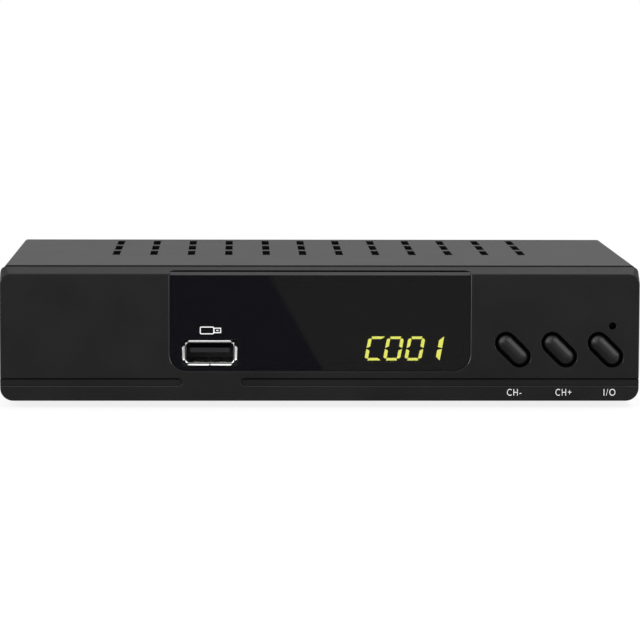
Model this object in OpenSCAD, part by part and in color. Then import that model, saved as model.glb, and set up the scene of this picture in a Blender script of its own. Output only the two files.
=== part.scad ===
// Small cable television receiver: moulded front panel with a smoked display window, three slanted
// buttons and a data socket, a bent steel cover with vent slots, a steel base with the rear sockets,
// and the two circuit boards inside.
// Millimetres. Inside the modules x runs to the viewer's right, y runs back from the front face and
// z runs up from the surface that the feet stand on.

/* [Front panel] */
// Width of the front panel
panel_w = 168; // [160:0.5:220]
// Height of the front panel
panel_h = 35.1; // [34:0.1:50]
// Thickness of the front wall
panel_wall = 2.4; // [2.2:0.1:3.2]
// Depth of the sloping top edge
bevel_d = 4; // [3.2:0.1:6]
// Height of the sloping top edge
bevel_h = 1.7; // [1:0.1:2.5]
// Radius of the lower corners
low_corner_r = 3.4; // [1:0.1:6]
// Radius of the upper corners at the back of the slope
back_corner_r = 1.6; // [0.3:0.1:2]
// Radius of the upper corners on the front face
face_corner_r = 2.7; // [1:0.1:5]
// Thickness of the rim that tucks under the cover
rim_t = 1.4; // [1:0.1:2]
// Height of the shadow groove along the bottom
groove_h = 2.15; // [1:0.05:2.6]
// Depth of the shadow groove
groove_d = 0.5; // [0.2:0.1:1]
// Lower edge of the groove above the panel's lower edge
groove_z = 3.9; // [2:0.1:4.5]
// Length left plain between the two grooves, below the data socket
groove_gap = 15.2; // [10:0.1:30]
// How far the middle of that plain length lies right of the data socket's
groove_shift = 0.5; // [-2:0.1:2]

/* [Display window] */
// Width of the window
window_w = 78.6; // [72:0.1:90]
// Thickness of the window
window_t = 1.2; // [0.8:0.1:1.5]
// How far the window lies behind the front face
window_sink = 0.3; // [0.1:0.05:0.5]
// Lower edge of the window above the panel's lower edge
window_low = 8.1; // [7.5:0.1:10]
// Lower edge of the front face's slope above the window's front edge
window_drop = 0.25; // [0.1:0.05:0.5]
// Radius of the window's lower corners
window_corner_r = 4.2; // [2:0.1:6]
// Polished chamfer along the window's top edge
window_chamfer = 0.78; // [0.3:0.02:0.8]
// Gap around the window
window_gap = 0.15; // [0.05:0.05:0.4]
// Small slope round the window's pocket
window_lip = 0.5; // [0.2:0.05:0.8]
// Width of the shadow slot behind the window's top edge
window_slot = 0.6; // [0.3:0.1:0.7]
// Depth of that slot below the window's top edge
window_slot_d = 0.75; // [0.4:0.05:1]
// How far that slot reaches back under the slope at its floor
window_slot_under = 1.2; // [0:0.1:1.5]
// Width of the ledge that carries the window
window_ledge = 2; // [1:0.1:3]

/* [Buttons] */
// Distance between the centres of a button's round ends
key_len = 5.2; // [4:0.1:7]
// Radius of a button's round ends
key_r = 2.1; // [1.9:0.05:2.8]
// Gap between a button and its hole
key_gap = 0.8; // [0.3:0.05:0.9]
// Lean of a button from the horizontal, in degrees
key_lean = 45; // [30:1:60]
// Distance between buttons
key_pitch = 12.2; // [12:0.1:16]
// Distance from the last button to the panel's right edge
key_edge = 8.9; // [8.5:0.1:16]
// Height of the buttons above the panel's lower edge
key_z = 13.5; // [13:0.1:16]
// How far the crown of a button stands out of the front face
key_proud = 0.6; // [0.2:0.1:1.2]
// Radius of the crown of a button
key_crown_r = 2.5; // [2.4:0.1:8]
// Width of the flange that keeps a button in
key_flange = 0.7; // [0.4:0.1:1]
// Thickness of that flange
key_flange_t = 0.8; // [0.5:0.1:1.5]
// Play between the flange and the panel's walls
key_play = 0.15; // [0.05:0.05:0.3]
// Length of the stem that presses the switch
key_stem = 0.35; // [0.2:0.05:1]
// Travel of a button
key_travel = 0.4; // [0.2:0.05:0.5]

/* [Switches and indicator] */
// Side of a square tact switch
switch_side = 6; // [5:0.1:7]
// Height of a switch from the board to the plunger's tip
switch_h = 4.3; // [4.2:0.1:6]
// Height of a switch without its plunger
switch_body_h = 3.5; // [3.4:0.1:3.6]
// Radius of a switch plunger
plunger_r = 1.75; // [1.2:0.05:1.9]
// Radius of the plunger's inner flange
plunger_flange_r = 2.3; // [2:0.05:2.4]
// Radius of the indicator hole
led_hole_r = 1; // [0.8:0.1:1.4]
// Radius of the indicator lamp
led_r = 1.5; // [1.4:0.1:2.5]
// Distance from the indicator to the panel's right edge
led_edge = 7.1; // [6:0.1:12]
// Height of the indicator above the panel's lower edge
led_z = 19.8; // [19.6:0.1:24]

/* [Display] */
// Width of one digit
digit_w = 4.15; // [3:0.05:5]
// Height of one digit
digit_h = 6.57; // [5:0.01:9]
// Distance from digit to digit
digit_pitch = 5.12; // [4.8:0.02:7]
// Width of a segment
segment_w = 0.8; // [0.5:0.05:1.2]
// Gap between segments
segment_gap = 0.15; // [0.05:0.01:0.2]
// Slant of the digits, in degrees
digit_slant = 11.5; // [0:0.5:15]
// Left edge of the digits from the window's right edge
digits_edge = 27.4; // [24:0.1:40]
// Lower edge of the digits above the window's lower edge
digits_low = 2.2; // [2:0.02:8]

/* [Data socket] */
// Inside width of the socket
data_w = 12.5; // [12:0.1:13]
// Inside height of the socket
data_h = 5.12; // [5:0.02:5.4]
// Thickness of the socket's shell
data_t = 0.3; // [0.2:0.05:0.4]
// Length of the socket's shell
data_len = 13.1; // [12:0.1:16]
// Height of the flared lips at the sides
data_flare = 0.7; // [0.4:0.05:0.8]
// Height of the flared lips above and below
data_flare_up = 0.5; // [0.4:0.05:0.8]
// Distance from the window's left edge to the socket's centre
data_edge = 10.3; // [10:0.1:14]
// Height of the socket's centre above the window's lower edge
data_rise = 4.5; // [4.3:0.1:6]

/* [Case] */
// Depth from the front face to the rear wall
case_d = 95; // [90:0.5:140]
// Thickness of the steel sheet
sheet_t = 0.8; // [0.5:0.05:1]
// How far the cover's sides lie inside the panel's ends
cover_inset = 0.8; // [0.6:0.1:2]
// How far the cover stands above the panel
cover_proud = 0.35; // [0:0.05:0.8]
// Outside radius of the cover's bends
bend_r = 1.2; // [1:0.1:2]
// Gap where the cover fits over other pieces
cover_gap = 0.3; // [0.1:0.05:0.4]
// Height of the chassis floor above the panel's lower edge
floor_lift = 0.6; // [0.3:0.1:1]
// Height of the chassis side flanges
flange_h = 10; // [9:0.1:14]
// How far the feet reach below the panel's lower edge
foot_drop = 1.8; // [1.4:0.1:4]
// Radius of a foot
foot_r = 6; // [4:0.1:8]
// Chamfer round the sole of a foot
foot_chamfer = 0.5; // [0.2:0.1:1]

/* [Vents] */
// Width of a vent slot
vent_w = 2; // [1:0.1:3]
// Length of a vent slot
vent_len = 12.5; // [6:0.1:14]
// Distance between rows of slots
vent_row_pitch = 18.3; // [15:0.1:22]
// Distance from the rear row's centre to the rear edge
vent_edge = 11.9; // [11:0.1:16]
// Rows of slots
vent_rows = 3; // [1:1:3]
// Columns of slots left of the joint in the pattern
vent_left = 5; // [1:1:6]
// Columns of slots right of it
vent_right = 7; // [1:1:8]
// Distance between columns in the left part
vent_pitch_left = 10.25; // [6:0.05:11]
// Distance between columns in the right part
vent_pitch_right = 9.97; // [6:0.01:11]
// How far the middle of the pattern lies right of the cover's
vent_shift = 0.55; // [-3:0.05:3]

/* [Boards] */
// Thickness of the main board
board_t = 1.6; // [1:0.1:2]
// Thickness of the front board
front_board_t = 1.2; // [1:0.1:1.6]
// Gap between the main board's edge and the chassis flange
board_gap = 1.9; // [1:0.1:4]
// Radius of the pillars under the main board
pillar_r = 3; // [2.6:0.1:4]
// Radius of the thread in pillars and flanges
thread_r = 1.45; // [1.2:0.05:1.6]
// Clearance round a screw
screw_gap = 0.05; // [0.03:0.01:0.1]
// Radius of a screw hole that the screw passes freely
free_hole_r = 1.7; // [1.6:0.05:2]
// Pins in the header between the boards
header_pins_n = 8; // [2:1:12]
// Pitch of those pins
header_pitch = 2; // [1.5:0.1:2.54]

/* [Rear sockets] */
// Gap round a socket in the rear wall
rear_gap = 0.3; // [0.15:0.05:0.5]
// Height of the round sockets' axis above the main board
socket_rise = 6.5; // [6:0.1:8]
// Outside radius of the aerial input barrel
aerial_in_r = 5.6; // [5.4:0.05:6]
// Bore radius of the aerial input barrel
aerial_in_bore = 4.8; // [4.7:0.05:5]
// Outside radius of the aerial output barrel
aerial_out_r = 4.75; // [4.6:0.05:5]
// Bore radius of the aerial output barrel
aerial_out_bore = 4.15; // [4:0.05:4.4]
// How much wider the root of an aerial barrel is than the plug's seat on it
aerial_root = 0.6; // [0.2:0.1:1]
// How far the roots of the round sockets stand out of the rear wall
root_proud = 0.5; // [0.2:0.1:1]
// How far the aerial barrels stand out of the rear wall
aerial_len = 10; // [8:0.1:12]
// Distance from the aerial input to the panel's right edge
aerial_edge = 22; // [20:0.5:30]
// Distance between the aerial sockets
aerial_pitch = 20; // [16:0.5:22]
// Outside radius of the audio jack's ring
audio_r = 4.15; // [4:0.05:4.3]
// Bore radius of the audio jack
audio_bore = 1.65; // [1.55:0.05:1.8]
// How far the audio jack stands out of the rear wall
audio_len = 8.5; // [7:0.1:10]
// Position of the audio jack from the middle
audio_x = 21; // [16:0.5:26]
// Position of the video socket from the middle
video_x = 0; // [-4:0.5:6]
// Position of the multi-way AV socket from the middle
av_x = -36; // [-38:0.5:-33]
// Width of the AV socket
av_w = 47; // [46:0.5:48]
// Height of the AV socket
av_h = 16.5; // [15:0.1:18]
// Distance from the power jack to the panel's left edge
power_edge = 16; // [12.5:0.5:18]
// Bore radius of the power jack
power_bore = 3.15; // [2.8:0.05:3.3]
// Radius of the power jack's centre pin
power_pin_r = 1; // [0.8:0.05:1.25]

/* [Hidden] */
$fn = 48;
eps = 0.01;

// Levels
panel_z0 = foot_drop;
panel_z1 = panel_z0 + panel_h;
face_z1 = panel_z1 - bevel_h;
floor_z0 = panel_z0 + floor_lift;
floor_z1 = floor_z0 + sheet_t;
cover_z1 = panel_z1 + cover_proud;
cover_in_z = cover_z1 - sheet_t;
cover_x = panel_w / 2 - cover_inset;
cover_in_x = cover_x - sheet_t;
chassis_x = cover_in_x - cover_gap;
rear_in = case_d - sheet_t;

// Depths behind the panel
key_flange_y = panel_wall + key_play;
plunger_y = key_flange_y + key_flange_t + key_stem;
front_board_y = plunger_y + switch_h;
front_board_back = front_board_y + front_board_t;
rim_y = front_board_back + cover_gap;
chassis_y = rim_y + cover_gap;
cover_y = bevel_d + cover_gap;
lens_gap = 0.3;
behind_wall_y = panel_wall + lens_gap;

// Window
window_y0 = window_sink;
window_y1 = window_sink + window_t;
window_z0 = panel_z0 + window_low;
window_z1 = face_z1 - window_drop + window_chamfer;
window_x = window_w / 2;

// Panel cavity and rim
rim_x = cover_in_x - cover_gap;
rim_z0 = floor_z0;
rim_z1 = cover_in_z - cover_gap;
cavity_x = rim_x - rim_t;
cavity_z0 = rim_z0 + rim_t;
cavity_z1 = rim_z1 - rim_t;
cavity_r = 1.5;

// Buttons and indicator
key_n = 3;
key_x = [for (i = [0 : key_n - 1]) panel_w / 2 - key_edge - (key_n - 1 - i) * key_pitch];
key_h = panel_z0 + key_z;
led_x = panel_w / 2 - led_edge;
led_h = panel_z0 + led_z;
led_rim = 0.4;
led_rim_t = 1;
plunger_gap = 0.1;
key_stem_r = plunger_r - 0.2;
switch_cover_t = 0.5;
switch_top = front_board_y - switch_body_h;
switch_deck = switch_top + switch_cover_t;
plunger_flange_t = 0.5;
dome_t = 0.15;
switch_well = plunger_flange_t + key_travel + 2 * dome_t + plunger_gap;

// Display
digits_n = 4;
digits_x = window_x - digits_edge;
digits_z = window_z0 + digits_low;
segment_t = 0.5;
segment_names = "abcdefg";
// Segments that glow in each digit, which shows the letter C and the number 001
shown = ["adef", "abcdef", "abcdef", "bc"];
display_border = 1.1;

// Data socket
data_x = -window_x + data_edge;
data_z = window_z0 + data_rise;
data_out_w = data_w + 2 * data_t;
data_out_h = data_h + 2 * data_t;
data_flare_y = window_sink + 0.1;
data_flare_d = 1;
data_y0 = data_flare_y + data_flare_d;
data_lip_gap = 0.25;
data_corner_r = 0.65;
data_lip_root = 0.4;
data_lip_edge = 0.42;
data_lip_short = [1, 1.4];
data_tongue_w = 10.5;
data_tongue_h = 1.25;
data_tongue_drop = 1.4;
data_tongue_y = data_y0 + 1.6;

// Main board
board_z1 = data_z - data_out_h / 2;
board_z0 = board_z1 - board_t;
board_x = chassis_x - sheet_t - board_gap;
board_y0 = chassis_y + 0.4;
board_y1 = rear_in - 1.2;
pillar_x = board_x - 3.5;
pillar_y = [board_y0 + 9, rear_in - 20];
pillar_at = [for (sx = [-1, 1], y = pillar_y) [sx * pillar_x, y]];

// Rear sockets
socket_z = board_z1 + socket_rise;
aerial_in_x = panel_w / 2 - aerial_edge;
aerial_out_x = aerial_in_x - aerial_pitch;
root_y = case_d + root_proud;
can_wall = 0.5;
can_side = 9;
can_d = 38;
can_h = 2 * socket_rise;
can_y1 = rear_in - 0.5;
seat_gap = 0.05;
insulator_t = 2.5;
power_x = -panel_w / 2 + power_edge;
power_w = 9;
power_h = 11;
power_len = 14;
socket_proud = 0.5;
video_w = 15;
video_h = 5.6;
video_t = 0.4;
video_cut = [1.9, 2.4];
video_len = 12;
av_len = 15;
av_mouth_w = 43.5;
av_mouth_h = 12.6;
av_mouth_cut = 3;
av_groove = 1.4;
av_depth = 9;
av_ways = 10;
av_pitch = 3.81;
av_slot = [1.4, 3.6];
av_rib = 1.2;
av_blade = [0.8, 2.8];

// Fasteners: radius and height of a head, and length below it
cover_screw = [2.8, 0.75, 5];
board_screw = [2.75, 1.8, 6];
panel_screw = [2.8, 1.1, 3.4];
small_screw = [2.2, 1.4, 4.5];
small_thread_r = 1;
small_hole_r = 1.2;
thread_spare = 0.5;
board_play = 0.4;
front_screw = [small_screw[0], small_screw[1], small_screw[2] + front_board_t - thread_spare];
recess_w = 0.7;
cover_screw_y = [chassis_y + 16, case_d - 15];
cover_screw_z = floor_z0 + 6;
lug_x = panel_w / 2 - 29;
lug_w = 10;
lug_len = 10;
lug_t = 3;
lug_screw_y = rim_y + 5;
boss_r = 2.6;
boss_z = panel_z0 + 26.2;
boss_x = [-window_x - 3.7, window_x + 4.7, panel_w / 2 - 8];
foot_x = panel_w / 2 - 18;
foot_y = [chassis_y + 12.2, case_d - 11];

// The origin lies under the middle of the whole box
y_front = -key_proud;
y_rear = case_d + aerial_len;
y_middle = (y_front + y_rear) / 2;

KEYS = ["button_channel_down", "button_channel_up", "button_power"];
PLUNGERS = ["switch_plunger_down", "switch_plunger_up", "switch_plunger_power"];
DOMES = ["snap_dome_down", "snap_dome_up", "snap_dome_power"];
SWITCHES = ["switch_housing_down", "switch_housing_up", "switch_housing_power"];
FEET = ["foot_front_left", "foot_front_right", "foot_rear_left", "foot_rear_right"];
SINGLES = [
    "front_panel", "display_window", "top_cover", "base_chassis", "switch_covers", "front_board",
    "front_board_screws", "display_housing", "lit_segments", "unlit_segments", "standby_led",
    "infrared_receiver", "header_strip", "header_pins", "main_board", "board_pillars", "board_screws",
    "processor", "heatsink", "memory_chip", "flash_chip", "capacitors", "inductors", "crystal",
    "tuner_can", "aerial_in_barrel", "aerial_in_insulator", "aerial_in_contact", "aerial_out_barrel",
    "aerial_out_insulator", "aerial_out_pin", "audio_jack_body", "audio_jack_ring",
    "video_socket_shell", "video_socket_tongue", "av_socket_body", "av_socket_contacts",
    "power_jack_body", "power_jack_pin", "data_socket_shell", "data_socket_tongue",
    "data_socket_contacts", "cover_screws", "panel_screws"
];

// Shared shapes

// Moves a piece from the panel's frame to the frame with its origin under the middle
module placed() translate([0, -y_middle, 0]) children();

// A front-view outline made solid between two depths
module slab(y0, y1) translate([0, y1, 0]) rotate([90, 0, 0]) linear_extrude(y1 - y0) children();

// A box between its lowest and highest corners
module box(low, high) translate(low) cube(high - low);

// A round bar along y
module bar_y(x, z, r, y0, y1) translate([x, y0, z]) rotate([-90, 0, 0]) cylinder(r = r, h = y1 - y0);

// A round bar along x
module bar_x(y, z, r, x0, x1) translate([x0, y, z]) rotate([0, 90, 0]) cylinder(r = r, h = x1 - x0);

// A rectangle with its own radius at the lower and at the upper corners
module plate2d(x0, x1, z0, z1, low_r, high_r) {
    translate([x0 + low_r, z0]) square([x1 - x0 - 2 * low_r, z1 - z0 - high_r]);
    translate([x0 + high_r, z0 + low_r]) square([x1 - x0 - 2 * high_r, z1 - z0 - low_r]);
    translate([x0, z0 + low_r]) square([x1 - x0, z1 - z0 - low_r - high_r]);
    for (x = [x0 + low_r, x1 - low_r]) translate([x, z0 + low_r]) circle(low_r);
    for (x = [x0 + high_r, x1 - high_r]) translate([x, z1 - high_r]) circle(high_r);
}

// A leaning outline with round ends, as a button and its hole have
module key2d(r) rotate(-key_lean) {
    square([key_len, 2 * r], center = true);
    for (s = [-1, 1]) translate([s * key_len / 2, 0]) circle(r);
}

// Moves a front-view outline to a button
module at_key(i) translate([key_x[i], key_h]) children();

// A screw with a cross recess, its head on z = 0 and its shank below
module screw(head, shank_r) difference() {
    union() {
        cylinder(r = head[0], h = head[1]);
        translate([0, 0, -head[2]]) cylinder(r = shank_r, h = head[2] + eps);
    }
    for (a = [0, 90]) rotate(a) translate([0, 0, head[1]])
        cube([head[0] * 1.2, recess_w, head[1]], center = true);
}

// Outline of the window, grown by a gap, and taller by an extra height
module window2d(grow, extra = 0) {
    r = window_corner_r + grow;
    plate2d(-window_x - grow, window_x + grow, window_z0 - grow, window_z1 + grow + extra, r, eps);
}

// Opening for the data socket's flared lips, grown by a gap
module data_opening2d(grow) {
    w = data_out_w + 2 * data_flare + 2 * grow;
    h = data_out_h + 2 * data_flare_up + 2 * grow;
    r = data_corner_r + grow;
    plate2d(data_x - w / 2, data_x + w / 2, data_z - h / 2, data_z + h / 2, r, r);
}

// Casing

// Front of the panel: the face is lower and rounder at the top than the back of the slope
module panel_front() {
    skin = 0.05;
    hull() {
        slab(0, skin)
            plate2d(-panel_w / 2, panel_w / 2, panel_z0, face_z1, low_corner_r, face_corner_r, $fn = 32);
        slab(bevel_d - skin, bevel_d)
            plate2d(-panel_w / 2, panel_w / 2, panel_z0, panel_z1, low_corner_r, back_corner_r, $fn = 32);
    }
}

// The two shadow grooves, from the panel's ends to the plain length below the data socket
module groove_cuts() {
    z0 = panel_z0 + groove_z;
    r = groove_h / 2;
    for (side = [-1, 1]) {
        inner = data_x + groove_shift + side * groove_gap / 2;
        outer = side * (panel_w / 2 + 1);
        slab(-1, groove_d) {
            translate([min(inner + side * r, outer), z0]) square([abs(outer - inner) - r, groove_h]);
            translate([inner + side * r, z0 + r]) circle(r);
        }
    }
}

// Plan of the slot behind the window. Its ends slant, so that it fades into the slope.
module slot2d(under) {
    x = window_x + window_gap;
    y = window_y1 + window_slot;
    polygon([
        [-x, window_y1 - eps], [x, window_y1 - eps],
        [x - 2 * window_slot, y + under], [-x + 2 * window_slot, y + under]
    ]);
}

// Pocket, ledge opening and top slot for the window
module window_cuts() {
    slab(-1, window_y1) window2d(window_gap, panel_h);
    hull() {
        slab(-1, 0) window2d(window_gap + window_lip, panel_h, $fn = 32);
        slab(window_lip - eps, window_lip) window2d(window_gap, panel_h, $fn = 32);
    }
    slab(-1, panel_wall + 1)
        plate2d(-window_x + window_ledge, window_x - window_ledge, window_z0 + window_ledge,
            cavity_z1 - window_ledge, window_corner_r, eps);
    slab(-1, panel_wall + 1) data_opening2d(data_lip_gap + window_gap);
    // The slot narrows upwards from its floor to its edge in the slope
    edge_z = face_z1 + bevel_h * (window_y1 + window_slot) / bevel_d;
    hull() {
        translate([0, 0, window_z1 - window_slot_d]) linear_extrude(eps) slot2d(window_slot_under);
        translate([0, 0, edge_z]) linear_extrude(eps) slot2d(0);
    }
    translate([0, 0, edge_z]) linear_extrude(panel_h) slot2d(0);
}

// The two lugs that the chassis floor is screwed to, from a level up and back to a depth
module lugs(z0, y1) for (s = [-1, 1])
    box([s * lug_x - lug_w / 2, rim_y - lug_t, z0], [s * lug_x + lug_w / 2, y1, floor_z1 + lug_t]);

module front_panel() color("#262626") difference() {
    union() {
        panel_front();
        slab(bevel_d - eps, rim_y) plate2d(-rim_x, rim_x, rim_z0, rim_z1, low_corner_r, cavity_r);
        lugs(floor_z1, rim_y + lug_len);
    }
    difference() {
        slab(panel_wall, rim_y + 1) plate2d(-cavity_x, cavity_x, cavity_z0, cavity_z1, cavity_r, cavity_r);
        for (x = boss_x) bar_y(x, boss_z, boss_r, panel_wall - 1, front_board_y);
        lugs(0, rim_y + 2);
    }
    window_cuts();
    groove_cuts();
    for (i = [0 : key_n - 1]) slab(-1, panel_wall + 1) at_key(i) key2d(key_r + key_gap);
    bar_y(led_x, led_h, led_hole_r, -1, panel_wall + 1);
    for (x = boss_x)
        bar_y(x, boss_z, small_thread_r + screw_gap, front_board_y - small_screw[2], front_board_y + 1);
    for (s = [-1, 1]) translate([s * lug_x, lug_screw_y, 0])
        cylinder(r = thread_r + screw_gap, h = floor_z1 + lug_t + 1);
}

module display_window() color("#151518") difference() {
    slab(window_y0, window_y1) window2d(0);
    slab(window_y0 - 1, window_y1 + 1) data_opening2d(data_lip_gap);
    translate([0, window_y0, window_z1 - window_chamfer]) rotate([45, 0, 0])
        translate([-window_w, -window_chamfer * 2, 0])
            cube([2 * window_w, window_chamfer * 4, window_chamfer * 2]);
}

// Bent sheet of the cover, seen from the front
module cover2d() difference() {
    plate2d(-cover_x, cover_x, floor_z0, cover_z1, eps, bend_r);
    translate([0, -1]) plate2d(-cover_in_x, cover_in_x, floor_z0, cover_in_z + 1, eps, bend_r - sheet_t);
}

// Middle of each vent column, counted from the left
vent_span = (vent_left - 1) * vent_pitch_left + vent_right * vent_pitch_right;
function vent_x(i) = vent_shift - vent_span / 2 + min(i, vent_left - 1) * vent_pitch_left
    + max(0, i - vent_left + 1) * vent_pitch_right;

module top_cover() color("#2b2b2b") difference() {
    slab(cover_y, case_d) cover2d();
    for (i = [0 : vent_left + vent_right - 1], row = [0 : vent_rows - 1])
        translate([vent_x(i), case_d - vent_edge - row * vent_row_pitch, cover_z1])
            cube([vent_w, vent_len, 4 * sheet_t], center = true);
    for (y = cover_screw_y) bar_x(y, cover_screw_z, free_hole_r, -panel_w, panel_w);
}

// Openings in the rear wall, each a socket's outline grown by the gap
module rear_cuts() {
    y0 = rear_in - 1;
    y1 = case_d + 1;
    bar_y(aerial_in_x, socket_z, aerial_in_r + aerial_root + rear_gap, y0, y1);
    bar_y(aerial_out_x, socket_z, aerial_out_r + aerial_root + rear_gap, y0, y1);
    bar_y(audio_x, socket_z, audio_r + audio_root + rear_gap, y0, y1);
    slab(y0, y1) translate([video_x, board_z1]) video2d(rear_gap);
    slab(y0, y1) translate([av_x, board_z1]) av2d(rear_gap);
    slab(y0, y1) translate([power_x, board_z1]) power2d(rear_gap);
}

// Ledge along the top of the rear wall, and the length missing at a side flange's ends
ledge_d = 4;
flange_end = 2;

module base_chassis() color("#3a3a3c") difference() {
    union() {
        box([-chassis_x, chassis_y, floor_z0], [chassis_x, case_d, floor_z1]);
        box([-chassis_x, rear_in, floor_z0], [chassis_x, case_d, cover_in_z]);
        box([-chassis_x + ledge_d, rear_in - ledge_d, cover_in_z - sheet_t],
            [chassis_x - ledge_d, case_d, cover_in_z]);
        for (s = [-1, 1]) {
            x = s * (chassis_x - sheet_t / 2);
            box([x - sheet_t / 2, chassis_y + flange_end, floor_z0],
                [x + sheet_t / 2, rear_in - flange_end, floor_z0 + flange_h]);
        }
    }
    rear_cuts();
    for (y = cover_screw_y) bar_x(y, cover_screw_z, thread_r + screw_gap, -panel_w, panel_w);
    for (s = [-1, 1]) translate([s * lug_x, lug_screw_y, 0]) cylinder(r = free_hole_r, h = floor_z1 + 1);
}

module foot(i) {
    x = (i % 2 == 0 ? -1 : 1) * foot_x;
    y = foot_y[floor(i / 2)];
    color("#1c1c1c") translate([x, y, 0]) union() {
        cylinder(r1 = foot_r - foot_chamfer, r2 = foot_r, h = foot_chamfer);
        translate([0, 0, foot_chamfer - eps]) cylinder(r = foot_r, h = floor_z0 - foot_chamfer + eps);
    }
}

// Buttons and switches

// Room that the panel's side walls leave for the flanges
module key_room2d()
    plate2d(-cavity_x + key_play, cavity_x - key_play, cavity_z0 + key_play, cavity_z1 - key_play, eps, eps);

// A button: crowned cap, flange behind the panel's wall, and a stem on the switch
module button(i) color("#303030") {
    flange_y1 = key_flange_y + key_flange_t;
    crown_y = key_crown_r - key_proud;
    intersection() {
        slab(-key_proud - 1, key_flange_y) at_key(i) key2d(key_r);
        translate([key_x[i], crown_y, key_h]) rotate([0, key_lean, 0]) {
            rotate([0, 90, 0]) cylinder(r = key_crown_r, h = key_len, center = true);
            for (s = [-1, 1]) translate([s * key_len / 2, 0, 0]) sphere(key_crown_r);
        }
    }
    slab(key_flange_y - eps, flange_y1) intersection() {
        at_key(i) key2d(key_r + key_gap + key_flange);
        key_room2d();
    }
    bar_y(key_x[i], key_h, key_stem_r, flange_y1 - eps, plunger_y);
}

module switch_plunger(i) color("#d8d2c0") {
    bar_y(key_x[i], key_h, plunger_r, plunger_y, switch_deck + eps);
    bar_y(key_x[i], key_h, plunger_flange_r, switch_deck + plunger_gap / 2, switch_deck + plunger_flange_t);
    bar_y(key_x[i], key_h, plunger_r, switch_deck, switch_deck + plunger_flange_t);
}

// The snap dome that pushes the plunger back: a shallow dished disc
module snap_dome(i) {
    dome_y = switch_deck + plunger_flange_t;
    r = plunger_flange_r - plunger_gap;
    rise = key_travel + plunger_gap;
    sphere_r = (r * r + rise * rise) / (2 * rise);
    color("#c9c9c9") translate([key_x[i], dome_y, key_h]) rotate([-90, 0, 0]) intersection() {
        translate([0, 0, sphere_r]) difference() {
            sphere(sphere_r);
            sphere(sphere_r - dome_t);
        }
        cylinder(r = r, h = rise + dome_t);
    }
}

module switch_housing(i) color("#1a1a1a") difference() {
    box([key_x[i] - switch_side / 2, switch_deck, key_h - switch_side / 2],
        [key_x[i] + switch_side / 2, front_board_y, key_h + switch_side / 2]);
    bar_y(key_x[i], key_h, plunger_flange_r + plunger_gap, switch_deck - 1, switch_deck + switch_well);
}

module switch_covers() color("#b9bcc0") for (i = [0 : key_n - 1]) difference() {
    box([key_x[i] - switch_side / 2, switch_top, key_h - switch_side / 2],
        [key_x[i] + switch_side / 2, switch_deck, key_h + switch_side / 2]);
    bar_y(key_x[i], key_h, plunger_r + plunger_gap, switch_top - 1, switch_deck + 1);
}

// Front board and what it carries

module front_board() {
    border = 4;
    x0 = boss_x[0] - border;
    x1 = cavity_x - board_play;
    z0 = floor_z1 + lug_t + board_play;
    z1 = boss_z + border;
    notch = 3.5;
    notch_top = 1.5;
    color("#1f4d2b") difference() {
        box([x0, front_board_y, z0], [x1, front_board_back, z1]);
        box([data_x - data_out_w / 2 - notch, front_board_y - 1, z0 - 1],
            [data_x + data_out_w / 2 + notch, front_board_back + 1, data_z + data_out_h / 2 + notch_top]);
        for (x = boss_x) bar_y(x, boss_z, small_hole_r, front_board_y - 1, front_board_back + 1);
        for (i = [0 : header_pins_n - 1])
            bar_y(header_x(i), header_z, header_hole_r, front_board_y - 1, front_board_back + 1);
    }
}

module front_board_screws() color("#8d8f92") for (x = boss_x)
    translate([x, front_board_back, boss_z]) rotate([-90, 0, 0])
        screw(front_screw, small_thread_r);

module display_housing() color("#111111") {
    lean = digit_h * tan(digit_slant);
    box([digits_x - display_border, behind_wall_y + segment_t, digits_z - display_border],
        [digits_x + (digits_n - 1) * digit_pitch + digit_w + lean + display_border, front_board_y,
            digits_z + digit_h + display_border]);
}

// Corner points of one segment of an upright digit, a to g
function flip_x(p) = [for (q = p) [digit_w - q[0], q[1]]];
function flip_z(p) = [for (q = p) [q[0], digit_h - q[1]]];
function slanted(p) = [for (q = p) [q[0] + q[1] * tan(digit_slant), q[1]]];
corner_cut = 0.5 * segment_w;
half_h = digit_h / 2;
top_bar = [
    [corner_cut + segment_gap, digit_h], [digit_w - corner_cut - segment_gap, digit_h],
    [digit_w - segment_w - segment_gap, digit_h - segment_w], [segment_w + segment_gap, digit_h - segment_w]
];
upper_left = [
    [0, half_h + segment_gap], [0, digit_h - corner_cut], [corner_cut - segment_gap, digit_h - segment_gap],
    [segment_w, digit_h - segment_w - segment_gap], [segment_w, half_h + segment_w / 2 + segment_gap]
];
middle_left = [
    [2 * segment_gap, half_h], [segment_w, half_h + segment_w / 2 - segment_gap],
    [segment_w, half_h - segment_w / 2 + segment_gap]
];
middle_bar = [
    middle_left[0], middle_left[1], flip_x(middle_left)[1], flip_x(middle_left)[0],
    flip_x(middle_left)[2], middle_left[2]
];
digit_segments = [
    top_bar, flip_x(upper_left), flip_z(flip_x(upper_left)), flip_z(top_bar), flip_z(upper_left), upper_left,
    middle_bar
];
function is_lit(digit, k) = len(search(segment_names[k], shown[digit])) > 0;

module segments(lit) slab(behind_wall_y, behind_wall_y + segment_t)
    for (d = [0 : digits_n - 1], k = [0 : len(digit_segments) - 1]) if (is_lit(d, k) == lit)
        translate([digits_x + d * digit_pitch, digits_z]) polygon(slanted(digit_segments[k]));

module lit_segments() color("#e4e85a") segments(true);

module unlit_segments() color("#1b1b16") segments(false);

// Indicator lamp with a round nose behind its hole
module standby_led() color("#5a2320") {
    translate([led_x, behind_wall_y + led_r, led_h]) sphere(led_r);
    bar_y(led_x, led_h, led_r, behind_wall_y + led_r, front_board_y);
    bar_y(led_x, led_h, led_r + led_rim, front_board_y - led_rim_t, front_board_y);
}

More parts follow.
